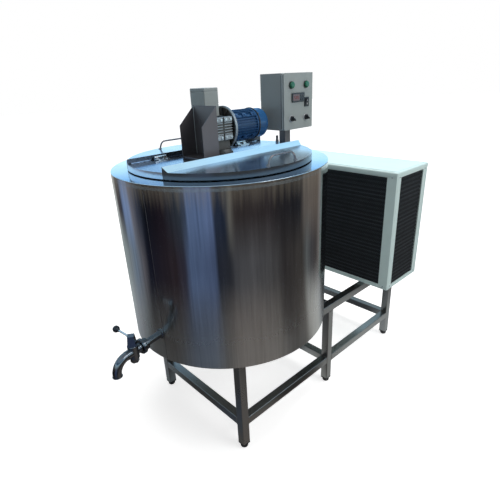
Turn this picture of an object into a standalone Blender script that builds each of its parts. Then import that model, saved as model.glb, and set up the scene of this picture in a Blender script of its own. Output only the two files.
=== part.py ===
"""A bulk milk tank of about 300 litres with its condensing unit on one stand.

The tank is an insulated, double-walled, upright stainless cylinder. Two hinged
lids close it on either side of a fixed bridge, and the bridge carries the
agitator's gear motor. A control box stands on a post at the rim, a plug valve
drains the tank, and a painted cabinet holds the condensing unit.

Units are metres and +Z is up. Places are given from the tank's axis at floor
level, with +X from the tank to the cabinet. One empty then moves everything so
that the origin is the centre of the footprint, on the floor.
"""
import math

import bmesh
import bpy
from mathutils import Matrix, Vector

# ---------------------------------------------------------------- clearances
GAP = 0.0003            # between faces that touch
RUN = 0.0004            # round a turning shaft

# --------------------------------------------------------------------- stand
TUBE = 0.040            # side of the square tube
LEG_X = (-0.238, 0.383, 1.002)
NEAR_Y = -0.322
FAR_Y = 0.286
RAIL_TOP = 0.493        # top of the upper rails, which the tank stands on
STRETCHER_Z = 0.150     # middle of the lower rails
FOOT_H = 0.025
FOOT_R = 0.019

# ---------------------------------------------------------------------- tank
TANK_R = 0.464
TANK_TOP = 1.252        # the flat rim
SHELL_T = 0.0025
VESSEL_R = 0.385
VESSEL_T = 0.003
VESSEL_FLOOR = 0.600
COLLAR_TOP = 1.2787     # the vessel's neck, which the lids rest on
TURN = 60               # facets round the tank
COIL_TUBE_R = 0.006
COIL_TURNS = 3
COIL_PITCH = 0.040
COIL_STEPS = 24         # points in each turn of the coil

# ----------------------------------------------------------- lids and bridge
LID_R = 0.396
SHEET = 0.002
SKIRT = 0.025           # depth of the lids' and the bridge's rim
BRIDGE_HALF = 0.1272    # half the bridge's width at its ends
RIDGE_H = 0.020         # height of the raised edge along each lid
RIDGE_RUN = 0.0225      # how far its slope runs out over the lid
GUTTER_W = 0.008
GUTTER_H = 0.007
GUTTER_X = 0.355
LID_HANDLE_Y = 0.365
LID_HANDLE_HALF = 0.068
LID_HANDLE_H = 0.038
LID_HANDLE_R = 0.004
HINGE_X = 0.229
HINGE_HALF = 0.028
HINGE_Y = 0.117
HINGE_UP = 0.0095       # height of the hinge's pin over the bridge
KNUCKLE_R = 0.0055
KNUCKLE_HALF = 0.009
PIN_R = 0.0025
WELL_X = 0.364
WELL_R = 0.004
WELL_TOP = 1.315
WELL_BOTTOM = 0.750

# -------------------------------------------------------------- agitator drive
WORM_OFFSET = 0.040     # between the worm's axis and the wheel's
DRIVE_Z = 1.386         # height of the worm's axis
SHAFT_R = 0.010
SHAFT_BOTTOM = 0.640
PADDLE_HALF = 0.150
PADDLE_H = 0.055
PADDLE_T = 0.004
WHEEL_R = 0.028
WHEEL_T = 0.024
WORM_R = 0.010
GEARBOX_TOP = 1.436
GEARBOX_UP = 0.019      # height of the gearbox's round foot
GEARBOX_FOOT_R = 0.045
GEARBOX_FRONT = 0.034
GEARBOX_HALF_Y = 0.056
DISC_X = 0.040
DISC_T = 0.012
DISC_R = 0.089
MOTOR_FLANGE_R = 0.080
MOTOR_FLANGE_T = 0.009
MOTOR_R = 0.0675
MOTOR_FIN = 0.0075
MOTOR_FINS = 24
MOTOR_END = 0.200
MOTOR_BORE_R = 0.050
ROTOR_R = 0.045
ROTOR_SHAFT_R = 0.008
COWL_END = 0.264
COWL_R = 0.0645
COWL_RIM_R = 0.0705
COWL_T = 0.002
FAN_TIP_R = 0.052
FAN_HUB_R = 0.022
BRACKET_BACK_X = -0.065
BRACKET_DEPTH = 0.078
BRACKET_HALF = 0.077
BRACKET_TOP = 1.483
BRACKET_SHOULDER = 1.409
BRACKET_T = 0.003
JUNCTION_LENGTH = 0.073
JUNCTION_Y = (-0.005, 0.092)
JUNCTION_TOP = 1.549

# ---------------------------------------------------------------- control box
POST_X = 0.420
POST_WALL = 0.002
POST_FOOT_T = 0.004
BOX_X = (0.305, 0.505)
BOX_BACK_Y = 0.045
BOX_FRONT_Y = -0.083
BOX_Z = (1.347, 1.592)
BOX_T = 0.002
DOOR_T = 0.018
DOOR_INSET = 0.0008
DEVICE_X = 0.0505       # lamps and selectors stand this far from the door's middle
LAMP_Z = 1.541
LAMP_R = 0.016
LAMP_OUT = 0.013
STEM_R = 0.010
SELECTOR_Z = 1.397
SELECTOR_R = 0.012
CONTROLLER_AT = (0.399, 1.487)
CONTROLLER_SIZE = (0.086, 0.040)
ROCKER_AT = (0.461, 1.4645)
ROCKER_SIZE = (0.030, 0.042)
ROCKER_TILT = math.radians(8)

# ------------------------------------------------------------------------ tap
TAP_ANGLE = math.radians(191)
TAP_Z = 0.620
PIPE_R = 0.0127
PIPE_BORE_R = 0.0105
PIPE_OUT = 0.092        # how far the outlet pipe stands out of the shell
PIPE_COLLAR_R = 0.022
NUT_R = 0.032
NUT_NECK_R = 0.0255
NUT_LENGTH = 0.016
NUT_NECK_LENGTH = 0.015
VALVE_REACH = 0.049     # from the pipe's end to the valve's plug
VALVE_LENGTH = 0.084    # from the pipe's end to the start of the spout
VALVE_R = 0.0185
BARREL_R = 0.021
BARREL_TOP = 0.650
BARREL_BOTTOM = 0.592
VALVE_CAP_R = 0.0175
VALVE_CAP_BOTTOM = 0.571
PLUG_R = 0.0136
HANDLE_TOP = 0.692
LEVER_R = 0.004
LEVER_LENGTH = 0.087
LEVER_RISE = 0.008
KNOB_R = 0.014
SPOUT_R = 0.0175
SPOUT_BORE_R = 0.0150
SPOUT_BEND = 0.052
SPOUT_DROP = 0.013

# ------------------------------------------------------------ condensing unit
CABINET_X = (0.692, 1.0128)
CABINET_Y = (-0.4747, 0.4387)
CABINET_TOP = 1.133
PANEL_T = 0.012
CAP_H = 0.021
CAP_OVER = 0.003
FLOOR_T = 0.002
CURB_H = 0.012
LONG_POST = 0.052       # solid border beside the long grilles
SHORT_POST = 0.031      # solid border beside the short grilles
BORDER = 0.010          # solid border above and below the grilles
SLOT_H = 0.014
SLOT_PITCH = 0.024
COMPRESSOR_AT = (0.800, -0.280)
COMPRESSOR_R = 0.085
COMPRESSOR_TOP = 0.700
FAN_AT = (0.100, 0.800)
FAN_X = 0.885
FAN_R = 0.160
FAN_MOTOR_R = 0.045
FAN_MOTOR_X = (0.800, 0.878)
COIL_BLOCK_X = (0.955, 0.985)
COIL_BLOCK_Y = (-0.200, 0.400)
COIL_BLOCK_TOP = 1.080
LINE_R = 0.008
LINE_Y = 0.150
LINE_Z = 0.660
LINE_TOP = 0.745
LINE_X = 0.750

# Values that follow from those above.
HALF_TUBE = TUBE / 2
TANK_BASE = RAIL_TOP + GAP
LID_TOP = COLLAR_TOP + GAP + SHEET
SKIRT_BOTTOM = LID_TOP - SKIRT
FLANGE_Y = BRIDGE_HALF + GAP
HINGE_Z = LID_TOP + HINGE_UP
COIL_CHORD = math.cos(math.pi / COIL_STEPS)
COIL_R = (VESSEL_R + GAP + COIL_TUBE_R) / COIL_CHORD
BRIDGE_SEAT = LID_TOP + GAP
WORM_Y = WORM_OFFSET / 2
WHEEL_Y = -WORM_OFFSET / 2
DISC_END = DISC_X + DISC_T
DOOR_BACK_Y = BOX_FRONT_Y - GAP
DOOR_Y = DOOR_BACK_Y - DOOR_T
BOX_MID_X = (BOX_X[0] + BOX_X[1]) / 2
PANEL_BOTTOM = TANK_BASE + CURB_H + GAP
PANEL_TOP = CABINET_TOP - CAP_H - GAP
PIPE_END = TANK_R + PIPE_OUT
VALVE_U = PIPE_END + VALVE_REACH
VALVE_END = PIPE_END + VALVE_LENGTH
SPOUT_END = VALVE_END + SPOUT_BEND
LOW_X = SPOUT_END * math.cos(TAP_ANGLE) - SPOUT_R
HIGH_X = max(CABINET_X[1] + CAP_OVER, LEG_X[-1] + HALF_TUBE)
LOW_Y = min(CABINET_Y[0] - CAP_OVER, -TANK_R)
HIGH_Y = max(CABINET_Y[1] + CAP_OVER, TANK_R)
FOOTPRINT = Vector(((LOW_X + HIGH_X) / 2, (LOW_Y + HIGH_Y) / 2, 0))

FINISHES = {
    "stainless": ((0.62, 0.61, 0.60), 0.28, 1.0),
    "cast_aluminium": ((0.55, 0.55, 0.53), 0.45, 1.0),
    "motor_blue": ((0.03, 0.14, 0.36), 0.40, 0.0),
    "enclosure_grey": ((0.52, 0.55, 0.53), 0.45, 0.0),
    "cabinet_white": ((0.74, 0.77, 0.74), 0.40, 0.0),
    "grille_black": ((0.03, 0.03, 0.035), 0.55, 0.0),
    "compressor_black": ((0.02, 0.02, 0.02), 0.35, 0.0),
    "black_plastic": ((0.015, 0.015, 0.017), 0.40, 0.0),
    "green_lens": ((0.0, 0.30, 0.12), 0.25, 0.0),
    "foam": ((0.80, 0.68, 0.42), 0.90, 0.0),
    "copper": ((0.72, 0.40, 0.26), 0.30, 1.0),
    "fin_aluminium": ((0.60, 0.61, 0.62), 0.40, 1.0),
}

for old in list(bpy.data.objects):
    bpy.data.objects.remove(old, do_unlink=True)

PARTS = bpy.data.collections.new("bulk_milk_tank")
CUTTERS = bpy.data.collections.new("cutters")
bpy.context.scene.collection.children.link(PARTS)
bpy.context.scene.collection.children.link(CUTTERS)
ORIGINS = {}            # each empty's place, in the frame that its children use
AXIS_X = (0, math.pi / 2, 0)          # turns local Z to X
AXIS_Y = (math.pi / 2, 0, 0)          # turns local Z to -Y
SECTION_X = (math.pi / 2, 0, math.pi / 2)   # outline in Y and Z, run along X
SECTION_Y = (math.pi / 2, 0, 0)             # outline in X and Z, run along Y


# ------------------------------------------------------------------ tools
def empty(name, at=(0, 0, 0), parent=None, turn=0.0):
    """Add an empty: a group's frame or a joint's pivot."""
    holder = bpy.data.objects.new(name, None)
    holder.empty_display_size = 0.05
    PARTS.objects.link(holder)
    ORIGINS[name] = Vector(at)
    holder.location = Vector(at) - (ORIGINS[parent.name] if parent else Vector())
    holder.parent = parent
    holder.rotation_euler.z = turn
    return holder


def finish(name):
    """Return the named material, making it the first time."""
    made = bpy.data.materials.get(name)
    if made:
        return made
    colour, roughness, metallic = FINISHES[name]
    made = bpy.data.materials.new(name)
    made.use_nodes = True
    shader = made.node_tree.nodes["Principled BSDF"]
    shader.inputs["Base Color"].default_value = (*colour, 1)
    shader.inputs["Roughness"].default_value = roughness
    shader.inputs["Metallic"].default_value = metallic
    made.diffuse_color = (*colour, 1)
    return made


def add(name, shape, material, at, parent=None, rotation=(0, 0, 0)):
    """Put a bmesh into the scene as one object at a place in its parent's frame."""
    mesh = bpy.data.meshes.new(name)
    shape.to_mesh(mesh)
    shape.free()
    piece = bpy.data.objects.new(name, mesh)
    PARTS.objects.link(piece)
    piece.parent = parent or ROOT
    piece.location = Vector(at) - ORIGINS[piece.parent.name]
    piece.rotation_euler = rotation
    mesh.materials.append(finish(material))
    return piece


def block(name, low, high, material="stainless", parent=None, bevel=0.0):
    """Add a box between two corners."""
    shape = bmesh.new()
    bmesh.ops.create_cube(shape, size=1.0)
    size = Vector(high) - Vector(low)
    bmesh.ops.scale(shape, vec=size, verts=shape.verts)
    piece = add(name, shape, material, (Vector(low) + Vector(high)) / 2, parent)
    if bevel:
        soften(piece, bevel)
    return piece


def soften(piece, width, segments=2):
    """Round a piece's edges with a Bevel modifier."""
    rounding = piece.modifiers.new("rounding", "BEVEL")
    rounding.width = width
    rounding.segments = segments
    rounding.limit_method = "ANGLE"
    return piece


def rod(name, start, end, radius, material="stainless", parent=None, end_radius=None, sides=16):
    """Add a cylinder or cone between two points."""
    start, end = Vector(start), Vector(end)
    along = end - start
    shape = bmesh.new()
    top = radius if end_radius is None else end_radius
    bmesh.ops.create_cone(shape, cap_ends=True, segments=sides, radius1=radius, radius2=top,
                          depth=along.length)
    turn = Vector((0, 0, 1)).rotation_difference(along).to_matrix()
    bmesh.ops.rotate(shape, verts=shape.verts, cent=(0, 0, 0), matrix=turn)
    piece = add(name, shape, material, (start + end) / 2, parent)
    piece.data.shade_smooth()
    piece.data.set_sharp_from_angle(angle=math.radians(40))
    return piece


def turned(name, profile, material="stainless", at=(0, 0, 0), parent=None, rotation=(0, 0, 0),
           steps=20):
    """Turn a closed profile of (radius, height) about its axis with a Screw modifier."""
    shape = bmesh.new()
    points = [shape.verts.new((radius, 0, height)) for radius, height in profile]
    pairs = list(zip(points, points[1:]))
    if profile[0][0] > 0 or profile[-1][0] > 0:
        pairs.append((points[-1], points[0]))
    for pair in pairs:
        shape.edges.new(pair)
    piece = add(name, shape, material, at, parent, rotation)
    screw = piece.modifiers.new("turning", "SCREW")
    screw.steps = screw.render_steps = steps
    screw.use_merge_vertices = True
    screw.merge_threshold = 0.00005
    screw.use_smooth_shade = False
    return piece


def curve_mesh(name, curve, material, at, parent, rotation):
    """Turn a curve into a welded mesh object."""
    guide = bpy.data.objects.new(name + "_guide", curve)
    CUTTERS.objects.link(guide)
    bpy.context.view_layer.update()
    seen = guide.evaluated_get(bpy.context.evaluated_depsgraph_get())
    mesh = bpy.data.meshes.new_from_object(seen)
    shape = bmesh.new()
    shape.from_mesh(mesh)
    bmesh.ops.remove_doubles(shape, verts=shape.verts, dist=0.00001)
    bmesh.ops.recalc_face_normals(shape, faces=shape.faces)
    bpy.data.objects.remove(guide, do_unlink=True)
    bpy.data.meshes.remove(mesh)
    return add(name, shape, material, at, parent, rotation)


def outline(name, points, half, material="stainless", at=(0, 0, 0), parent=None,
            rotation=SECTION_X):
    """Run a flat outline both ways along its normal."""
    curve = bpy.data.curves.new(name, "CURVE")
    curve.dimensions = "2D"
    curve.fill_mode = "BOTH"
    curve.extrude = half
    spline = curve.splines.new("POLY")
    spline.points.add(len(points) - 1)
    for target, (across, up) in zip(spline.points, points):
        target.co = (across, up, 0, 1)
    spline.use_cyclic_u = True
    return curve_mesh(name, curve, material, at, parent, rotation)


def tube(name, path, radius, material="stainless", parent=None, fineness=2):
    """Run a round rod along a path of points."""
    curve = bpy.data.curves.new(name, "CURVE")
    curve.dimensions = "3D"
    curve.bevel_depth = radius
    curve.bevel_resolution = fineness
    curve.use_fill_caps = True
    spline = curve.splines.new("POLY")
    spline.points.add(len(path) - 1)
    for target, point in zip(spline.points, path):
        target.co = (*point, 1)
    return curve_mesh(name, curve, material, (0, 0, 0), parent, (0, 0, 0))


def rounded(corners, radius, steps=4):
    """Return a path whose inner corners are arcs of one radius."""
    corners = [Vector(corner) for corner in corners]
    path = [corners[0]]
    for before, corner, after in zip(corners, corners[1:], corners[2:]):
        back = (before - corner).normalized()
        ahead = (after - corner).normalized()
        half_angle = back.angle(ahead) / 2
        reach = radius / math.tan(half_angle)
        centre = corner + (back + ahead).normalized() * radius / math.sin(half_angle)
        first = corner + back * reach - centre
        last = corner + ahead * reach - centre
        for step in range(steps + 1):
            path.append(centre + first.slerp(last, step / steps).normalized() * radius)
    path.append(corners[-1])
    return path


def combine(piece, tool, operation):
    """Join or cut a piece with another, which then only guides the modifier."""
    PARTS.objects.unlink(tool)
    CUTTERS.objects.link(tool)
    tool.name = piece.name + "_" + operation.lower() + str(len(piece.modifiers))
    tool.hide_render = True
    tool.display_type = "WIRE"
    change = piece.modifiers.new(tool.name, "BOOLEAN")
    change.operation = operation
    change.object = tool
    change.solver = "EXACT"
    return piece


def join(piece, *tools):
    for tool in tools:
        combine(piece, tool, "UNION")
    return piece


def cut(piece, *tools):
    for tool in tools:
        combine(piece, tool, "DIFFERENCE")
    return piece


# ------------------------------------------------------------------ stand
def side_frame(name, y):
    """Three legs under one rail, with a stretcher low between them."""
    low_x, high_x = LEG_X[0] - HALF_TUBE, LEG_X[-1] + HALF_TUBE
    frame = block(name, (low_x, y - HALF_TUBE, FOOT_H + GAP), (high_x, y + HALF_TUBE, RAIL_TOP))
    for left, right in zip(LEG_X, LEG_X[1:]):
        for low, high in ((0.0, STRETCHER_Z - HALF_TUBE), (STRETCHER_Z + HALF_TUBE, RAIL_TOP - TUBE)):
            cut(frame, block("bay", (left + HALF_TUBE, y - TUBE, low), (right - HALF_TUBE, y + TUBE, high)))


def build_stand():
    side_frame("near_side_frame", NEAR_Y)
    side_frame("far_side_frame", FAR_Y)
    low_y, high_y = NEAR_Y + HALF_TUBE + GAP, FAR_Y - HALF_TUBE - GAP
    for number, x in enumerate(LEG_X, 1):
        for kind, middle in (("upper", RAIL_TOP - HALF_TUBE), ("lower", STRETCHER_Z)):
            block(f"{kind}_cross_rail_{number}", (x - HALF_TUBE, low_y, middle - HALF_TUBE),
                  (x + HALF_TUBE, high_y, middle + HALF_TUBE))
    number = 0
    for y in (NEAR_Y, FAR_Y):
        for x in LEG_X:
            number += 1
            rod(f"foot_{number}", (x, y, 0), (x, y, FOOT_H), FOOT_R * 0.9, "black_plastic",
                end_radius=FOOT_R)


# ------------------------------------------------------------------- tank
def cup(radius, wall, bottom, top):
    """Profile of an open cup, from its outer rim round to its inner rim."""
    floor = bottom + wall
    return [(radius, top), (radius, bottom), (0, bottom), (0, floor), (radius - wall, floor),
            (radius - wall, top)]


def build_tank():
    rim_under = TANK_TOP - VESSEL_T
    shell_floor = TANK_BASE + SHELL_T
    shell = turned("outer_shell", cup(TANK_R, SHELL_T, TANK_BASE, rim_under - GAP), steps=TURN)
    vessel_profile = cup(VESSEL_R, VESSEL_T, VESSEL_FLOOR - VESSEL_T, COLLAR_TOP)
    flange = [(VESSEL_R, TANK_TOP), (TANK_R, TANK_TOP), (TANK_R, rim_under), (VESSEL_R, rim_under)]
    vessel_profile[1:1] = flange
    vessel = turned("inner_vessel", vessel_profile, steps=TURN)
    jacket_bore = COIL_R + COIL_TUBE_R + GAP * 4
    under_vessel = VESSEL_FLOOR - VESSEL_T - GAP
    jacket_r = TANK_R - SHELL_T - GAP
    foam = turned("insulation", [
        (jacket_r, rim_under - GAP), (jacket_r, shell_floor + GAP), (0, shell_floor + GAP),
        (0, under_vessel), (jacket_bore, under_vessel), (jacket_bore, rim_under - GAP)],
        "foam", steps=TURN)
    for piece in (shell, foam, vessel):
        drill = rod("outlet_hole", (VESSEL_R - 0.02, 0, TAP_Z), (TANK_R + 0.02, 0, TAP_Z),
                    PIPE_R + GAP * 2, parent=TAP)
        cut(piece, drill)
    for piece in (shell, foam):
        cut(piece, rod("line_hole", (LINE_INNER_X - LINE_R, LINE_Y, LINE_Z), (TANK_R, LINE_Y, LINE_Z),
                       LINE_R + GAP * 2))
    start = math.asin(LINE_Y / COIL_R)
    turns = [start + math.tau * step / COIL_STEPS for step in range(COIL_TURNS * COIL_STEPS + 1)]
    helix = [(COIL_R * math.cos(angle), COIL_R * math.sin(angle),
              LINE_Z + COIL_PITCH * (angle - start) / math.tau) for angle in turns]
    tube("evaporator_coil", helix, COIL_TUBE_R, "copper")


def cover(name, section, hollow):
    """Cut a lid or the bridge from a disc: its section run along X, less its hollow."""
    piece = outline(name, section, LID_R * 1.1)
    bounds = rod("rim", (0, 0, SKIRT_BOTTOM - SKIRT), (0, 0, LID_TOP + RIDGE_H * 2), LID_R, sides=TURN)
    combine(piece, bounds, "INTERSECT")
    inside = outline("inside", hollow, LID_R * 1.2)
    bore = rod("bore", (0, 0, SKIRT_BOTTOM - SKIRT * 2), (0, 0, LID_TOP + RIDGE_H * 3),
               LID_R - SHEET, sides=TURN)
    combine(inside, bore, "INTERSECT")
    return cut(piece, inside)


def hinge_parts(side, x):
    """Return the lid's knuckle with its web, and the hole through it."""
    y = side * HINGE_Y
    knuckle = rod("knuckle", (x - KNUCKLE_HALF, y, HINGE_Z), (x + KNUCKLE_HALF, y, HINGE_Z),
                  KNUCKLE_R, sides=16)
    reach = sorted((side * (HINGE_Y + PIN_R + GAP * 3), side * (FLANGE_Y + SHEET / 2)))
    web = block("web", (x - KNUCKLE_HALF + GAP, reach[0], HINGE_Z - KNUCKLE_R / 2),
                (x + KNUCKLE_HALF - GAP, reach[1], HINGE_Z + KNUCKLE_R / 2))
    bore = rod("pin_hole", (x - HINGE_HALF, y, HINGE_Z), (x + HINGE_HALF, y, HINGE_Z),
               PIN_R + GAP * 2, sides=16)
    return knuckle, web, bore


def build_hinge(name, side, x):
    """Fixed leaf on the bridge, with its two knuckles and the pin."""
    y = side * HINGE_Y
    leaf_y = sorted((side * (HINGE_Y - 0.032), side * (HINGE_Y - 0.004)))
    leaf_top = BRIDGE_SEAT + 0.003
    leaf = block(name, (x - HINGE_HALF, leaf_y[0], BRIDGE_SEAT), (x + HINGE_HALF, leaf_y[1], leaf_top))
    pin = rod("pin", (x - HINGE_HALF + GAP, y, HINGE_Z), (x + HINGE_HALF - GAP, y, HINGE_Z), PIN_R,
              sides=16)
    for hand in (-1, 1):
        ends = sorted((x + hand * (KNUCKLE_HALF + GAP * 2), x + hand * HINGE_HALF))
        barrel = rod("barrel", (ends[0], y, HINGE_Z), (ends[1], y, HINGE_Z), KNUCKLE_R, sides=16)
        base_y = sorted((side * (HINGE_Y - 0.010), side * (HINGE_Y + 0.001)))
        base = block("base", (ends[0] + GAP, base_y[0], BRIDGE_SEAT + GAP),
                     (ends[1] - GAP, base_y[1], HINGE_Z - KNUCKLE_R / 4))
        join(leaf, base, barrel)
    join(leaf, pin)


def build_lid(name, side):
    """One hinged lid with its raised straight edge, knuckles and bow handle."""
    pivot = empty(name + "_pivot", (0, side * HINGE_Y, HINGE_Z), ROOT)
    beyond = LID_R * 1.1
    ridge_top = LID_TOP + RIDGE_H
    slope_end = FLANGE_Y + RIDGE_RUN
    section = [(FLANGE_Y, SKIRT_BOTTOM), (FLANGE_Y, ridge_top), (slope_end, LID_TOP),
               (beyond, LID_TOP), (beyond, SKIRT_BOTTOM)]
    steep = math.hypot(RIDGE_H, RIDGE_RUN) / RIDGE_RUN
    inner_y = FLANGE_Y + SHEET
    inner_ridge = ridge_top - SHEET * (steep + RIDGE_H / RIDGE_RUN)
    inner_end = slope_end + SHEET * (1 - steep) * RIDGE_RUN / RIDGE_H
    hollow = [(inner_y, SKIRT_BOTTOM - SKIRT), (inner_y, inner_ridge), (inner_end, LID_TOP - SHEET),
              (beyond * 1.1, LID_TOP - SHEET), (beyond * 1.1, SKIRT_BOTTOM - SKIRT)]
    lid = cover(name, [(side * y, z) for y, z in section], [(side * y, z) for y, z in hollow])
    open_y = sorted((side * (FLANGE_Y - SHEET), side * (inner_y + SHEET)))
    open_x = math.sqrt((LID_R - SHEET) ** 2 - inner_y ** 2) - SHEET
    cut(lid, block("under_flange", (-open_x, open_y[0], SKIRT_BOTTOM - SKIRT),
                   (open_x, open_y[1], LID_TOP + 0.003)))
    for x in (-HINGE_X, HINGE_X):
        knuckle, web, bore = hinge_parts(side, x)
        join(lid, web, knuckle)
        cut(lid, bore)
    rest_on(lid, pivot)
    y = side * LID_HANDLE_Y
    foot = LID_TOP + GAP
    top = LID_TOP + LID_HANDLE_H
    lean = 0.012
    seat = foot + SHEET
    bow = rounded([(-LID_HANDLE_HALF, y, seat), (-LID_HANDLE_HALF + lean, y, top),
                   (LID_HANDLE_HALF - lean, y, top), (LID_HANDLE_HALF, y, seat)], 0.022)
    handle = tube(name + "_handle", bow, LID_HANDLE_R)
    for x in (-LID_HANDLE_HALF, LID_HANDLE_HALF):
        join(handle, rod("foot_disc", (x, y, foot), (x, y, foot + 0.003), LID_HANDLE_R * 2))
    rest_on(handle, pivot)


def rest_on(piece, pivot):
    """Hang a finished piece on its joint's empty, with its origin on the joint."""
    offset = ORIGINS[pivot.name] - ORIGINS[piece.parent.name]
    piece.data.transform(Matrix.Translation(piece.location - offset) @
                         piece.rotation_euler.to_matrix().to_4x4())
    piece.rotation_euler = (0, 0, 0)
    piece.parent = pivot
    piece.location = (0, 0, 0)


def build_bridge():
    section = [(-BRIDGE_HALF, SKIRT_BOTTOM), (-BRIDGE_HALF, LID_TOP), (BRIDGE_HALF, LID_TOP),
               (BRIDGE_HALF, SKIRT_BOTTOM)]
    wide = BRIDGE_HALF * 1.2
    low, under = SKIRT_BOTTOM - SKIRT, LID_TOP - SHEET
    bridge = cover("bridge", section, [(-wide, low), (-wide, under), (wide, under), (wide, low)])
    for side in (-1, 1):
        strip = sorted((side * (BRIDGE_HALF - SHEET), side * (BRIDGE_HALF + GUTTER_W)))
        lip = sorted((side * (BRIDGE_HALF + GUTTER_W - SHEET), side * (BRIDGE_HALF + GUTTER_W)))
        gutter = block("gutter", (-GUTTER_X, strip[0], under), (GUTTER_X, strip[1], LID_TOP))
        wall = block("lip", (-GUTTER_X, lip[0], under), (GUTTER_X, lip[1], LID_TOP + GUTTER_H))
        join(bridge, gutter, wall)
    cut(bridge, rod("shaft_hole", (0, WHEEL_Y, low), (0, WHEEL_Y, LID_TOP + SHEET), SHAFT_R + 0.004))
    join(bridge, rod("well", (WELL_X, 0, WELL_BOTTOM), (WELL_X, 0, WELL_TOP), WELL_R, sides=16),
         rod("well_nut", (WELL_X, 0, under), (WELL_X, 0, LID_TOP + 0.008), WELL_R * 2, sides=6))
    for hinge_side, word in ((-1, "near"), (1, "far")):
        for x, hand in ((-HINGE_X, "left"), (HINGE_X, "right")):
            build_hinge(f"{word}_{hand}_hinge", hinge_side, x)


# ---------------------------------------------------------- agitator drive
def build_bracket():
    """U-shaped guard that backs the gearbox: a wedge hollowed from the front and the top."""
    front = BRACKET_BACK_X - BRACKET_DEPTH
    back = BRACKET_BACK_X
    floor = BRIDGE_SEAT + BRACKET_T
    inner = BRACKET_HALF - BRACKET_T
    side = [(front, BRIDGE_SEAT), (back, BRIDGE_SEAT), (back, BRACKET_TOP), (front, BRACKET_SHOULDER)]
    guard = outline("motor_bracket", side, BRACKET_HALF, rotation=SECTION_Y)
    cut(guard, block("inside", (front - BRACKET_DEPTH, -inner, floor),
                     (back - BRACKET_T, inner, BRACKET_TOP * 2)))
    for hand in (-1, 1):
        lug = sorted((hand * (BRACKET_HALF - 0.020), hand * (BRACKET_HALF - GAP)))
        join(guard, block("lug", (back - BRACKET_T, lug[0], BRIDGE_SEAT + GAP),
                          (back + 0.025, lug[1], floor - GAP)))


def build_gearbox():
    rear = BRACKET_BACK_X + GAP
    low = BRIDGE_SEAT + GEARBOX_UP
    case = block("gearbox_housing", (rear, -GEARBOX_HALF_Y, low),
                 (GEARBOX_FRONT, GEARBOX_HALF_Y, GEARBOX_TOP), "cast_aluminium")
    join(case, rod("foot", (0, WHEEL_Y, BRIDGE_SEAT), (0, WHEEL_Y, low + SHEET), GEARBOX_FOOT_R))
    neck = GEARBOX_HALF_Y - abs(WORM_Y)
    disc = [(0, DISC_END), (DISC_R, DISC_END), (DISC_R, DISC_X), (DISC_R - 0.006, DISC_X),
            (DISC_R - 0.009, DISC_X + DISC_T / 2), (neck, DISC_X + DISC_T / 2),
            (neck, GEARBOX_FRONT - SHEET), (0, GEARBOX_FRONT - SHEET)]
    join(case, turned("input_disc", disc, at=(0, WORM_Y, DRIVE_Z), rotation=AXIS_X, steps=32))
    half = WHEEL_T / 2 + 0.002
    cut(case,
        rod("wheel_room", (0, WHEEL_Y, DRIVE_Z - half), (0, WHEEL_Y, DRIVE_Z + half), WHEEL_R + 0.0015),
        rod("shaft_bore", (0, WHEEL_Y, BRIDGE_SEAT - SHEET), (0, WHEEL_Y, DRIVE_Z + half + 0.015),
            SHAFT_R + RUN),
        rod("worm_bore", (-0.045, WORM_Y, DRIVE_Z), (DISC_END + SHEET, WORM_Y, DRIVE_Z), WORM_R + 0.0015))


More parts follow.
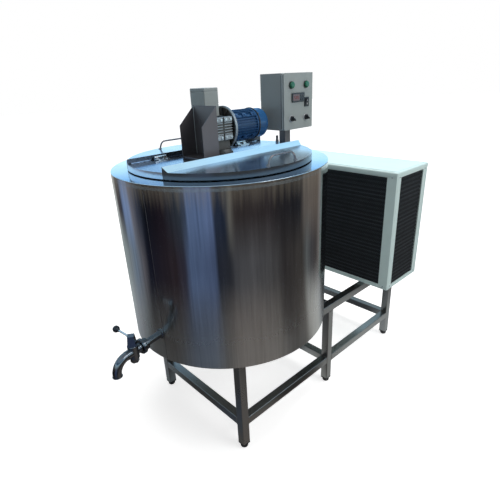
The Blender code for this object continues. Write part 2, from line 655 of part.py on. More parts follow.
def build_motor():
    """Foot-less motor: finned frame, fan cowl and the rotor that carries the worm."""
    start = DISC_END + GAP
    face = start + MOTOR_FLANGE_T
    points = []
    for step in range(MOTOR_FINS * 4):
        radius = MOTOR_R if step % 4 in (0, 1) else MOTOR_R - MOTOR_FIN
        angle = math.tau * step / (MOTOR_FINS * 4)
        points.append((radius * math.cos(angle), radius * math.sin(angle)))
    length = MOTOR_END - face + SHEET
    middle = MOTOR_END - length / 2
    frame = outline("motor_housing", points, length / 2, "motor_blue", (middle, WORM_Y, DRIVE_Z))
    join(frame, rod("flange", (start, WORM_Y, DRIVE_Z), (face, WORM_Y, DRIVE_Z), MOTOR_FLANGE_R,
                    sides=32))
    cut(frame, rod("bore", (face + SHEET, WORM_Y, DRIVE_Z), (MOTOR_END + SHEET, WORM_Y, DRIVE_Z),
                   MOTOR_BORE_R),
        rod("shaft_way", (start - SHEET, WORM_Y, DRIVE_Z), (face + SHEET * 2, WORM_Y, DRIVE_Z),
            ROTOR_SHAFT_R + RUN))
    cowl_start = MOTOR_END + GAP
    corner = 0.0065
    inner = COWL_R - COWL_T
    cowl = turned("fan_cowl", [
        (0, COWL_END), (COWL_R - corner, COWL_END), (COWL_R, COWL_END - corner),
        (COWL_R, cowl_start + 0.006), (COWL_RIM_R, cowl_start + 0.006), (COWL_RIM_R, cowl_start),
        (inner, cowl_start), (inner, COWL_END - corner), (inner - corner, COWL_END - COWL_T),
        (0, COWL_END - COWL_T)], "motor_blue", (0, WORM_Y, DRIVE_Z), rotation=AXIS_X, steps=32)
    holes = 6
    for step in range(holes):
        angle = math.tau * (step + 0.3) / holes
        y = WORM_Y + COWL_R * 0.55 * math.cos(angle)
        z = DRIVE_Z + COWL_R * 0.55 * math.sin(angle)
        cut(cowl, rod("vent", (COWL_END - COWL_T * 2, y, z), (COWL_END + COWL_T, y, z), 0.009, sides=8))
    spin = empty("motor_pivot", (0, WORM_Y, DRIVE_Z), ROOT)
    fan_at = MOTOR_END + 0.022
    rotor = turned("motor_rotor", [
        (0, fan_at + 0.018), (FAN_HUB_R, fan_at + 0.018), (FAN_HUB_R, fan_at), (ROTOR_SHAFT_R, fan_at),
        (ROTOR_SHAFT_R, 0.170), (ROTOR_R, 0.170), (ROTOR_R, 0.090), (ROTOR_SHAFT_R, 0.090),
        (ROTOR_SHAFT_R, 0.032), (WORM_R, 0.030), (WORM_R, -0.030), (ROTOR_SHAFT_R, -0.032),
        (ROTOR_SHAFT_R, -0.044), (0, -0.044)],
        "stainless", (0, WORM_Y, DRIVE_Z), spin, AXIS_X, 16)
    blades = []
    teeth = 6
    for step in range(teeth * 2):
        radius = FAN_TIP_R if step % 2 else FAN_HUB_R - SHEET
        for lean in (-0.25, 0.25):
            angle = math.tau * (step + lean) / (teeth * 2)
            blades.append((radius * math.cos(angle), radius * math.sin(angle)))
    join(rotor, outline("blades", blades, 0.006, at=(fan_at + 0.009, WORM_Y, DRIVE_Z)))


def build_agitator():
    spin = empty("agitator_pivot", (0, WHEEL_Y, DRIVE_Z), ROOT)
    top = DRIVE_Z + WHEEL_T / 2 + 0.014
    shaft = rod("agitator", (0, WHEEL_Y, SHAFT_BOTTOM), (0, WHEEL_Y, top), SHAFT_R, parent=spin)
    half = WHEEL_T / 2
    join(shaft, rod("wheel", (0, WHEEL_Y, DRIVE_Z - half), (0, WHEEL_Y, DRIVE_Z + half), WHEEL_R))
    low = SHAFT_BOTTOM + 0.010
    join(shaft, block("paddle", (-PADDLE_HALF, WHEEL_Y - PADDLE_T / 2, low),
                      (PADDLE_HALF, WHEEL_Y + PADDLE_T / 2, low + PADDLE_H)))


def build_junction_box():
    low = (BRACKET_BACK_X + GAP, JUNCTION_Y[0], GEARBOX_TOP + GAP)
    high = (BRACKET_BACK_X + JUNCTION_LENGTH, JUNCTION_Y[1], JUNCTION_TOP)
    box = block("junction_box", low, high, "enclosure_grey")
    wall = Vector((SHEET,) * 3)
    cut(box, block("inside", Vector(low) + wall, Vector(high) - wall))
    gland = (low[0] + JUNCTION_LENGTH / 2, high[1] - 0.018, low[2])
    cut(box, rod("gland_hole", (gland[0], gland[1], gland[2] - SHEET),
                 (gland[0], gland[1], gland[2] + SHEET * 2), 0.010))


# ------------------------------------------------------------- control box
def build_control_box():
    foot = TANK_TOP + GAP
    top = BOX_Z[0] - GAP
    post = block("control_post", (POST_X - HALF_TUBE, -HALF_TUBE, foot), (POST_X + HALF_TUBE, HALF_TUBE, top))
    plate_low = LID_R + SHEET
    join(post, block("foot_plate", (plate_low, -HALF_TUBE * 1.6, foot),
                     (POST_X + HALF_TUBE * 1.5, HALF_TUBE * 1.6, foot + POST_FOOT_T)))
    inside = HALF_TUBE - POST_WALL
    cut(post, block("inside", (POST_X - inside, -inside, foot + POST_FOOT_T),
                    (POST_X + inside, inside, top + TUBE)))
    low = (BOX_X[0], BOX_FRONT_Y, BOX_Z[0])
    high = (BOX_X[1], BOX_BACK_Y, BOX_Z[1])
    case = block("control_box", low, high, "enclosure_grey")
    cut(case, block("inside", (low[0] + BOX_T, low[1] - TUBE, low[2] + BOX_T),
                    (high[0] - BOX_T, high[1] - BOX_T, high[2] - BOX_T)))
    pin_x, pin_y = BOX_X[1] + 0.0045, BOX_FRONT_Y - 0.0075
    pivot = empty("door_pivot", (pin_x, pin_y, BOX_Z[0]), ROOT)
    door = build_door()
    for z in (BOX_Z[0] + 0.040, BOX_Z[1] - 0.060):
        arm = block("arm", (pin_x - 0.0025, pin_y - 0.0025, z), (pin_x + 0.0025, pin_y + 0.014, z + 0.006))
        root = block("arm_root", (BOX_X[1] - BOX_T / 2, BOX_FRONT_Y + 0.004, z + GAP),
                     (pin_x + 0.0022, BOX_FRONT_Y + 0.013, z + 0.006 - GAP))
        pin = rod("door_pin", (pin_x, pin_y, z + 0.003), (pin_x, pin_y, z + 0.018), 0.002, sides=12)
        join(case, root, arm, pin)
        eye_z = z + 0.006 + GAP
        eye = rod("eye", (pin_x, pin_y, eye_z), (pin_x, pin_y, eye_z + 0.011), 0.004, sides=16)
        web = block("eye_web", (BOX_X[1] - BOX_T / 2, pin_y - 0.003, eye_z + GAP),
                    (pin_x - 0.0026, pin_y + 0.003, eye_z + 0.011 - GAP))
        hole = rod("eye_hole", (pin_x, pin_y, eye_z - 0.002), (pin_x, pin_y, eye_z + 0.015), 0.0024, sides=16)
        join(door, web, eye)
        cut(door, hole)
    rest_on(door, pivot)
    build_panel_devices(pivot)


def build_door():
    low = (BOX_X[0], DOOR_Y, BOX_Z[0] + DOOR_INSET)
    high = (BOX_X[1], DOOR_BACK_Y, BOX_Z[1] - DOOR_INSET)
    door = block("control_door", low, high, "enclosure_grey")
    cut(door, block("inside", (low[0] + BOX_T, low[1] + BOX_T, low[2] + BOX_T),
                    (high[0] - BOX_T, high[1] + BOX_T, high[2] - BOX_T)))
    for x in (BOX_MID_X - DEVICE_X, BOX_MID_X + DEVICE_X):
        for z in (LAMP_Z, SELECTOR_Z):
            cut(door, rod("stem_hole", (x, DOOR_Y - BOX_T, z), (x, DOOR_Y + BOX_T * 2, z), STEM_R + RUN))
    for (x, z), (width, height) in ((CONTROLLER_AT, CONTROLLER_SIZE), (ROCKER_AT, ROCKER_SIZE)):
        half_w, half_h = width / 2 - 0.003, height / 2 - 0.003
        cut(door, block("cut_out", (x - half_w, DOOR_Y - BOX_T, z - half_h),
                        (x + half_w, DOOR_Y + BOX_T * 2, z + half_h)))
    return door


def build_panel_devices(pivot):
    face = DOOR_Y - GAP
    behind = DOOR_Y + BOX_T + 0.004
    for hand, word in ((-1, "left"), (1, "right")):
        x = BOX_MID_X + hand * DEVICE_X
        dome = LAMP_OUT * 0.35
        turned(f"{word}_lamp", [
            (0, LAMP_OUT), (LAMP_R * 0.6, LAMP_OUT - dome * 0.3), (LAMP_R * 0.9, LAMP_OUT - dome),
            (LAMP_R, LAMP_OUT - dome * 1.8), (LAMP_R, 0), (STEM_R, 0), (STEM_R, face - behind),
            (0, face - behind)], "green_lens", (x, face, LAMP_Z), pivot, AXIS_Y, 16)
        turn = empty(f"{word}_selector_pivot", (x, face, SELECTOR_Z), pivot)
        knob = turned(f"{word}_selector", [
            (0, 0.010), (SELECTOR_R, 0.010), (SELECTOR_R * 1.15, 0), (STEM_R, 0),
            (STEM_R, face - behind), (0, face - behind)],
            "black_plastic", (x, face, SELECTOR_Z), turn, AXIS_Y, 16)
        join(knob, block("grip", (x - 0.004, face - 0.024, SELECTOR_Z - SELECTOR_R),
                         (x + 0.004, face - 0.008, SELECTOR_Z + SELECTOR_R), "black_plastic"))
    x, z = CONTROLLER_AT
    half_w, half_h = CONTROLLER_SIZE[0] / 2, CONTROLLER_SIZE[1] / 2
    inset = 0.003 + GAP
    controller = block("controller", (x - half_w, face - 0.006, z - half_h), (x + half_w, face, z + half_h),
                       "black_plastic", pivot)
    join(controller, block("body", (x - half_w + inset, face - 0.002, z - half_h + inset),
                           (x + half_w - inset, behind, z + half_h - inset)))
    x, z = ROCKER_AT
    half_w, half_h = ROCKER_SIZE[0] / 2, ROCKER_SIZE[1] / 2
    bezel = block("rocker_bezel", (x - half_w, face - 0.004, z - half_h), (x + half_w, face, z + half_h),
                  "black_plastic", pivot)
    join(bezel, block("body", (x - half_w + inset, face - 0.002, z - half_h + inset),
                      (x + half_w - inset, behind, z + half_h - inset)))
    window_w, window_h = half_w - 0.005, half_h - 0.005
    cut(bezel, block("window", (x - window_w, face - 0.010, z - window_h),
                     (x + window_w, behind - 0.001, z + window_h)))
    tilt = empty("rocker_pivot", (x, face, z), pivot)
    rocker_h = window_h - 0.0012
    rocker = block("power_rocker", (x - window_w + GAP, face - 0.007, z - rocker_h),
                   (x + window_w - GAP, face + 0.002, z + rocker_h), "black_plastic")
    rest_on(rocker, tilt)
    rocker.rotation_euler.x = ROCKER_TILT


# --------------------------------------------------------------------- tap
def build_tap():
    """Outlet pipe, union, and plug valve with its spout, along X in the tap's own frame."""
    wall_in = VESSEL_R - VESSEL_T
    collar = TANK_R + GAP
    turned("outlet_pipe", [
        (PIPE_R, PIPE_END), (PIPE_R, collar + 0.004), (PIPE_COLLAR_R, collar + 0.004),
        (PIPE_COLLAR_R, collar), (PIPE_R, collar), (PIPE_R, wall_in), (PIPE_BORE_R, wall_in),
        (PIPE_BORE_R, PIPE_END)], at=(0, 0, TAP_Z), parent=TAP, rotation=AXIS_X)
    seat = PIPE_END + GAP
    sleeve = PIPE_R + GAP * 2
    turned("union_nut", [
        (NUT_R * 0.92, seat + NUT_LENGTH), (NUT_R, seat + NUT_LENGTH - 0.003), (NUT_R, seat + 0.003),
        (NUT_NECK_R, seat), (NUT_NECK_R, seat - NUT_NECK_LENGTH), (sleeve, seat - NUT_NECK_LENGTH),
        (sleeve, seat), (PIPE_BORE_R, seat), (PIPE_BORE_R, seat + NUT_LENGTH)],
        at=(0, 0, TAP_Z), parent=TAP, rotation=AXIS_X, steps=24)
    start = seat + NUT_LENGTH + GAP
    body = rod("valve_body", (start, 0, TAP_Z), (VALVE_END, 0, TAP_Z), VALVE_R, parent=TAP, sides=24)
    join(body,
         rod("barrel", (VALVE_U, 0, BARREL_BOTTOM), (VALVE_U, 0, BARREL_TOP), BARREL_R, parent=TAP, sides=24),
         rod("cap", (VALVE_U, 0, VALVE_CAP_BOTTOM), (VALVE_U, 0, BARREL_BOTTOM + SHEET), VALVE_CAP_R,
             parent=TAP, sides=6))
    low = TAP_Z - SPOUT_BEND - SPOUT_DROP
    corner = (SPOUT_END, 0, TAP_Z)
    bend = SPOUT_BEND - SHEET
    spout = tube("spout", rounded([(VALVE_END - SHEET, 0, TAP_Z), corner, (SPOUT_END, 0, low)], bend, 5),
                 SPOUT_R, parent=TAP, fineness=3)
    bore = tube("bore", rounded([(VALVE_END, 0, TAP_Z), corner, (SPOUT_END, 0, low - SHEET)], bend, 5),
                SPOUT_BORE_R, parent=TAP, fineness=3)
    join(body, spout)
    plug_floor = BARREL_BOTTOM + SHEET
    cut(body, bore,
        rod("flow", (start - SHEET, 0, TAP_Z), (VALVE_END + SHEET, 0, TAP_Z), PIPE_BORE_R, parent=TAP),
        rod("plug_room", (VALVE_U, 0, plug_floor), (VALVE_U, 0, BARREL_TOP + SHEET), PLUG_R + RUN,
            parent=TAP))
    pivot = empty("valve_pivot", (VALVE_U, 0, TAP_Z), TAP)
    handle = rod("valve_handle", (VALVE_U, 0, plug_floor + GAP), (VALVE_U, 0, BARREL_TOP + SHEET * 2),
                 PLUG_R, parent=pivot)
    head_low = BARREL_TOP + GAP * 2
    head = rod("head", (VALVE_U, 0, head_low), (VALVE_U, 0, HANDLE_TOP), 0.0245, parent=TAP,
               end_radius=0.0175, sides=4)
    lever_low = HANDLE_TOP - 0.010
    tip = Vector((VALVE_U, -LEVER_LENGTH, lever_low + LEVER_RISE))
    lever = rod("lever", (VALVE_U, 0, lever_low), tip, LEVER_R, parent=TAP, sides=12)
    join(handle, head, lever)
    cut(handle, rod("way", (VALVE_U, -PLUG_R * 2, TAP_Z), (VALVE_U, PLUG_R * 2, TAP_Z), PIPE_BORE_R,
                    parent=TAP))
    ball = bmesh.new()
    bmesh.ops.create_uvsphere(ball, u_segments=12, v_segments=8, radius=KNOB_R)
    knob = add("lever_knob", ball, "black_plastic", tip, pivot)
    along = (tip - Vector((VALVE_U, 0, lever_low))).normalized()
    cut(knob, rod("socket", tip - along * KNOB_R * 2, tip + along * GAP, LEVER_R + GAP, parent=TAP, sides=12))


# --------------------------------------------------------- condensing unit
def grille_panel(name, low, high, across, post):
    """A framed panel with level slots; across is the axis that it runs along."""
    panel = block(name, low, high, "grille_black")
    slots = int((PANEL_TOP - PANEL_BOTTOM - BORDER * 2) / SLOT_PITCH)
    first = (PANEL_TOP + PANEL_BOTTOM - SLOT_PITCH * (slots - 1)) / 2
    combs = bmesh.new()
    size = [0, 0, SLOT_H]
    size[across] = high[across] - low[across] - post * 2
    size[1 - across] = PANEL_T * 3
    middle = (Vector(low) + Vector(high)) / 2
    for number in range(slots):
        height = first + number * SLOT_PITCH - middle.z
        place = Matrix.Translation((0, 0, height)) @ Matrix.Diagonal((*size, 1))
        bmesh.ops.create_cube(combs, size=1.0, matrix=place)
    cut(panel, add("slots", combs, "grille_black", middle))
    return panel


def build_cabinet():
    (low_x, high_x), (low_y, high_y) = CABINET_X, CABINET_Y
    base = block("cabinet_base", (low_x, low_y, TANK_BASE), (high_x, high_y, TANK_BASE + CURB_H),
                 "cabinet_white")
    cut(base, block("tray", (low_x + PANEL_T, low_y + PANEL_T, TANK_BASE + FLOOR_T),
                    (high_x - PANEL_T, high_y - PANEL_T, TANK_BASE + CURB_H * 2)))
    left = grille_panel("left_grille", (low_x, low_y, PANEL_BOTTOM), (low_x + PANEL_T, high_y, PANEL_TOP),
                        1, LONG_POST)
    grille_panel("right_grille", (high_x - PANEL_T, low_y, PANEL_BOTTOM), (high_x, high_y, PANEL_TOP),
                 1, LONG_POST)
    inner_x = (low_x + PANEL_T + GAP, high_x - PANEL_T - GAP)
    for word, y in (("near", low_y), ("far", high_y - PANEL_T)):
        grille_panel(word + "_grille", (inner_x[0], y, PANEL_BOTTOM), (inner_x[1], y + PANEL_T, PANEL_TOP),
                     0, SHORT_POST)
    cut(left, rod("line_hole", (low_x - SHEET, LINE_Y, LINE_Z), (low_x + PANEL_T * 2, LINE_Y, LINE_Z),
                  LINE_R + GAP * 2))
    cap_low = CABINET_TOP - CAP_H
    cap = block("cabinet_top", (low_x - CAP_OVER, low_y - CAP_OVER, cap_low),
                (high_x + CAP_OVER, high_y + CAP_OVER, CABINET_TOP), "cabinet_white", bevel=0.006)
    cut(cap, block("under_cap", (low_x + PANEL_T, low_y + PANEL_T, cap_low - CAP_H),
                   (high_x - PANEL_T, high_y - PANEL_T, CABINET_TOP - FLOOR_T)))


def build_condensing_unit():
    floor = TANK_BASE + FLOOR_T + GAP
    tall = COMPRESSOR_TOP - floor
    radius = COMPRESSOR_R
    turned("compressor", [
        (0, tall), (radius * 0.55, tall - 0.006), (radius * 0.88, tall - 0.030), (radius, tall - 0.065),
        (radius, 0.040), (radius * 0.88, 0.012), (radius * 0.7, 0), (0, 0)],
        "compressor_black", (*COMPRESSOR_AT, floor))
    block("condenser_coil", (COIL_BLOCK_X[0], COIL_BLOCK_Y[0], floor),
          (COIL_BLOCK_X[1], COIL_BLOCK_Y[1], COIL_BLOCK_TOP), "fin_aluminium")
    y, z = FAN_AT
    shaft_r = 0.005
    motor = rod("fan_motor", (FAN_MOTOR_X[0], y, z), (FAN_MOTOR_X[1], y, z), FAN_MOTOR_R, "compressor_black")
    join(motor, block("pedestal", (FAN_MOTOR_X[0] + 0.020, y - 0.012, floor),
                      (FAN_MOTOR_X[1] - 0.020, y + 0.012, z - FAN_MOTOR_R / 2)))
    cut(motor, rod("shaft_bore", (FAN_MOTOR_X[1] - 0.030, y, z), (FAN_MOTOR_X[1] + SHEET, y, z),
                   shaft_r + RUN))
    spin = empty("condenser_fan_pivot", (FAN_X, y, z), ROOT)
    fan = rod("condenser_fan", (FAN_X, y, z), (FAN_X + 0.030, y, z), 0.035, "black_plastic", spin)
    join(fan, rod("shaft", (FAN_MOTOR_X[1] - 0.028, y, z), (FAN_X + SHEET, y, z), shaft_r))
    blades = 5
    for step in range(blades):
        shape = bmesh.new()
        place = (Matrix.Rotation(math.tau * step / blades, 4, "X") @
                 Matrix.Translation((0, 0, FAN_R / 2 + 0.010)) @ Matrix.Rotation(math.radians(25), 4, "Z") @
                 Matrix.Diagonal((0.003, 0.060, FAN_R - 0.020, 1)))
        bmesh.ops.create_cube(shape, size=1.0, matrix=place)
        join(fan, add("blade", shape, "black_plastic", (FAN_X + 0.015, y, z)))
    start = (*COMPRESSOR_AT, COMPRESSOR_TOP + GAP)
    route = [start, (*COMPRESSOR_AT, LINE_TOP), (LINE_X, LINE_Y, LINE_TOP), (LINE_X, LINE_Y, LINE_Z),
             (LINE_INNER_X, LINE_Y, LINE_Z)]
    tube("suction_line", rounded(route, 0.022), LINE_R, "copper")


LINE_INNER_X = math.sqrt((COIL_R + COIL_TUBE_R + GAP) ** 2 - LINE_Y ** 2)
ROOT = empty("tank_axis")
ROOT.location = -FOOTPRINT
TAP = empty("tap_axis", parent=ROOT, turn=TAP_ANGLE)
build_stand()
build_tank()
build_bridge()
build_lid("near_lid", -1)
build_lid("far_lid", 1)
build_bracket()
build_gearbox()
build_motor()
build_agitator()
build_junction_box()
build_control_box()
build_tap()
build_cabinet()
build_condensing_unit()
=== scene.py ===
import math

import bmesh
import bpy
from mathutils import Matrix, Vector

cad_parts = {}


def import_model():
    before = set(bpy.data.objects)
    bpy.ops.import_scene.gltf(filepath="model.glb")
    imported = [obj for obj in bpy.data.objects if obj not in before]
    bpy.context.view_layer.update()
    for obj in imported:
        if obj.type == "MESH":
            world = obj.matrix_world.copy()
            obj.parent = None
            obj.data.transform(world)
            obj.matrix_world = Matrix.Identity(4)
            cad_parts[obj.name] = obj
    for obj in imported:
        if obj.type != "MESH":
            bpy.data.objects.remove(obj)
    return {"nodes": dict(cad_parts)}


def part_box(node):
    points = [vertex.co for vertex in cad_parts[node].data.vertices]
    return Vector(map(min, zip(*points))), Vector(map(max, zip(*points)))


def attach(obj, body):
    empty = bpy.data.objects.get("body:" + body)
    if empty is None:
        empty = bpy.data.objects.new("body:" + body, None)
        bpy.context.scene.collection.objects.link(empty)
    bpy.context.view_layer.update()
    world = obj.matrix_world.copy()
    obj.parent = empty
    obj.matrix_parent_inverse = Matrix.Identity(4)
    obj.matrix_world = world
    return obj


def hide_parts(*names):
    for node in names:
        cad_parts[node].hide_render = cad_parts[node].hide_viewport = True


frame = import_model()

GAP = 0.0003            # left between neighbouring pieces
TUBE_CORNER = 0.0035    # rounding along the stand's square tubes
SHELL_R = 0.464
BAND_LOW, BAND_HIGH = 1.2315, 1.2425    # dull band round the top of the shell
SLAT_PITCH = 0.0225
RIBS = 5                # on each side of a column of the gearbox
POST_X = 0.420
BOX_LEFT, BOX_RIGHT = 0.305, 0.505      # outer sides of the control box
SELECTOR_REST = math.radians(45)
FAN_Z = 0.800           # the condenser fan's axis
MERGE = 0.000002        # vertices nearer than this are one
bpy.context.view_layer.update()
SHELL_LOW, SHELL_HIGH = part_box("outer_shell")
AXIS = Vector(((SHELL_LOW.x + SHELL_HIGH.x) / 2, (SHELL_LOW.y + SHELL_HIGH.y) / 2, 0))
TAP_TURN = Matrix.Rotation(math.radians(191), 4, "Z")
X, Y, Z = Vector((1, 0, 0)), Vector((0, 1, 0)), Vector((0, 0, 1))


def corners(node):
    """Lowest and highest corner of a node, from the tank's axis."""
    low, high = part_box(node)
    return low - AXIS, high - AXIS


def centre_of(node):
    """Middle of a node's box, from the tank's axis."""
    low, high = corners(node)
    return (low + high) / 2


def put(name, data):
    """Make an object in the scene."""
    made = bpy.data.objects.new(name, data)
    bpy.context.scene.collection.objects.link(made)
    return made


def meshed(name, form):
    """Turn a form into a mesh."""
    mesh = bpy.data.meshes.new(name)
    form.to_mesh(mesh)
    form.free()
    return mesh


# ------------------------------------------------------------------ shapes
def block(low, high, rounding=0.0, segments=3):
    """A box between any two opposite corners, with its edges rounded."""
    form = bmesh.new()
    low, high = Vector(map(min, low, high)), Vector(map(max, low, high))
    place = Matrix.Translation((low + high) / 2) @ Matrix.Diagonal((*(high - low), 1))
    bmesh.ops.create_cube(form, size=1.0, matrix=place)
    if rounding:
        bevel(form, form.edges[:], rounding, segments)
    return form


def bevel(form, edges, offset, segments, clamp=False):
    """Round some edges."""
    bmesh.ops.bevel(form, geom=edges, offset=offset, segments=segments, profile=0.5, affect="EDGES",
                    material=-1, clamp_overlap=clamp)


def sharp_edges(form):
    """Edges at which two faces clearly turn."""
    return [edge for edge in form.edges
            if len(edge.link_faces) == 2 and edge.calc_face_angle() > math.radians(28)]


def verts_in(items):
    """The corners among the things an operator made."""
    return [item for item in items if isinstance(item, bmesh.types.BMVert)]


def face_in(items):
    """The face among the things an operator made."""
    return next(item for item in items if isinstance(item, bmesh.types.BMFace))


def towards(start, direction):
    """Matrix that stands local +Z along a direction from a point."""
    turn = Z.rotation_difference(Vector(direction)).to_matrix().to_4x4()
    return Matrix.Translation(Vector(start)) @ turn


def moved(x, y, z):
    """Matrix that moves by a distance along each axis."""
    return Matrix.Translation((x, y, z))


def lying(x, y, z):
    """Matrix that lays local +Z along +X, through a point."""
    return moved(x, y, z) @ Matrix.Rotation(math.pi / 2, 4, "Y")


def around(count, place=Matrix.Identity(4), axis="Z", shift=0.0):
    """A place turned by equal steps about one of its own axes."""
    return [place @ Matrix.Rotation(math.tau * (number + shift) / count, 4, axis) for number in range(count)]


def rod(start, end, radius, end_radius=None, sides=32, rounding=0.0):
    """A cylinder or cone between two points, with its end edges rounded."""
    form = bmesh.new()
    along = Vector(end) - Vector(start)
    place = towards(start, along) @ moved(0, 0, along.length / 2)
    bmesh.ops.create_cone(form, cap_ends=True, segments=sides, radius1=radius,
                          radius2=radius if end_radius is None else end_radius,
                          depth=along.length, matrix=place)
    if rounding:
        rims = [edge for edge in form.edges if any(len(face.verts) > 4 for face in edge.link_faces)]
        bevel(form, rims, rounding, 2)
    return form


def turned(profile, place=Matrix.Identity(4), steps=64):
    """A closed body of revolution from (radius, height) points, about the place's +Z."""
    form = bmesh.new()
    points = [form.verts.new((radius, 0, height)) for radius, height in profile]
    pairs = list(zip(points, points[1:]))
    if profile[0][0] > 0:
        pairs.append((points[-1], points[0]))
    edges = [form.edges.new(pair) for pair in pairs]
    bmesh.ops.spin(form, geom=points + edges, cent=(0, 0, 0), axis=(0, 0, 1), angle=math.tau, steps=steps,
                   use_merge=True, use_duplicate=False)
    bmesh.ops.remove_doubles(form, verts=form.verts[:], dist=MERGE)
    bmesh.ops.recalc_face_normals(form, faces=form.faces[:])
    bmesh.ops.transform(form, matrix=place, verts=form.verts[:])
    return form


def arc(centre, radius, start, end, steps=6):
    """Points of (radius, height) along an arc, with its angles in degrees."""
    turns = [math.radians(start + (end - start) * step / steps) for step in range(steps + 1)]
    return [(centre[0] + radius * math.cos(turn), centre[1] + radius * math.sin(turn)) for turn in turns]


def bent(start, direction, radius, moves, sides=20):
    """A round bar run like a pipe in a bender: each move is a length ahead, or (angle, radius, axis)."""
    form = bmesh.new()
    place = towards(start, direction)
    bmesh.ops.create_circle(form, cap_ends=True, segments=sides, radius=radius, matrix=place)
    ahead = Vector(direction).normalized()
    front = next(iter(form.faces))
    at = Vector(start)
    for move in moves:
        if isinstance(move, tuple):
            angle, reach, axis = move
            axis = Vector(axis).normalized()
            side = axis.cross(ahead)
            centre = at + side * reach
            steps = max(3, int(abs(angle) / 9))
            turn = math.radians(angle)
            made = bmesh.ops.spin(form, geom=[front], cent=centre, axis=axis, angle=turn, steps=steps,
                                  use_merge=False, use_duplicate=False)["geom_last"]
            front = face_in(made)
            swing = Matrix.Rotation(turn, 3, axis)
            ahead = swing @ ahead
            at = centre + swing @ (at - centre)
        else:
            made = bmesh.ops.extrude_face_region(form, geom=[front])["geom"]
            bmesh.ops.translate(form, vec=ahead * move, verts=verts_in(made))
            front = face_in(made)
            at = at + ahead * move
    bmesh.ops.remove_doubles(form, verts=form.verts[:], dist=MERGE)
    inner = [face for face in form.faces if len(face.verts) > 4 and
             all(len(edge.link_faces) > 2 for edge in face.edges)]
    bmesh.ops.delete(form, geom=inner, context="FACES_ONLY")
    bmesh.ops.recalc_face_normals(form, faces=form.faces[:])
    return form


def copied(node, rounding=0.0, segments=2):
    """A welded copy of a CAD node with its sharp edges rounded, from the tank's axis."""
    form = bmesh.new()
    form.from_mesh(frame["nodes"][node].data)
    bmesh.ops.translate(form, vec=-AXIS, verts=form.verts[:])
    bmesh.ops.remove_doubles(form, verts=form.verts[:], dist=0.00001)
    bmesh.ops.dissolve_limit(form, angle_limit=math.radians(0.6), verts=form.verts[:], edges=form.edges[:])
    if rounding:
        bevel(form, sharp_edges(form), rounding, segments, True)
    return form


def bolt(at, direction, radius, height, sides=6):
    """A bolt's head with a rounded edge."""
    at, direction = Vector(at), Vector(direction).normalized()
    return rod(at, at + direction * height, radius, sides=sides, rounding=radius * 0.12)


class Piece:
    """One visible piece: shapes gathered into one mesh, each with one of the piece's finishes."""

    def __init__(self, name, *finishes, body="tank"):
        self.name, self.finishes, self.body = name, finishes, body
        self.form = bmesh.new()

    def add(self, form, finish=0, place=None):
        """Take in a shape, with its place and the number of its finish, or a rule for each face."""
        if place is not None:
            bmesh.ops.transform(form, matrix=place, verts=form.verts[:])
        for face in form.faces:
            face.material_index = finish(face) if callable(finish) else finish
        mesh = meshed("taken", form)
        self.form.from_mesh(mesh)
        bpy.data.meshes.remove(mesh)
        return self

    def done(self, *nodes, slot=None, smooth=32):
        """Make the object, hang it on its body and let it stand for its CAD nodes."""
        bmesh.ops.translate(self.form, vec=AXIS, verts=self.form.verts[:])
        mesh = meshed(self.name, self.form)
        for finish in self.finishes:
            mesh.materials.append(finish)
        mesh.shade_smooth()
        mesh.set_sharp_from_angle(angle=math.radians(smooth))
        made = put(self.name, mesh)
        made.modifiers.new("weighted_normals", "WEIGHTED_NORMAL").keep_sharp = True
        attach(made, self.body)
        if nodes:
            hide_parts(*nodes)
        return made


# ---------------------------------------------------------------- finishes
def shaded(colour, share, lift=0.0):
    """A lighter or darker shade of a colour."""
    return tuple(part * share + lift for part in colour)


def pick(sockets, key):
    """A node's socket by its number, name or identifier."""
    if isinstance(key, int):
        return sockets[key]
    return next(socket for socket in sockets if key in (socket.identifier, socket.name.replace(" ", "_")))


class Wire:
    """A socket in a node tree. Sums, products and comparisons of wires add Math nodes."""

    def __init__(self, tree, socket):
        self.tree, self.socket = tree, socket

    def maths(self, operation, *values):
        return self.tree.node("ShaderNodeMath", {"operation": operation}, *values)

    def __add__(self, other):
        return self.maths("ADD", self, other)

    def __mul__(self, other):
        return self.maths("MULTIPLY", self, other)

    __sub__ = lambda self, other: self.maths("SUBTRACT", self, other)
    __rsub__ = lambda self, other: self.maths("SUBTRACT", other, self)
    __truediv__ = lambda self, other: self.maths("DIVIDE", self, other)
    __gt__ = lambda self, other: self.maths("GREATER_THAN", self, other)
    __lt__ = lambda self, other: self.maths("LESS_THAN", self, other)
    __radd__ = __add__
    __rmul__ = __mul__


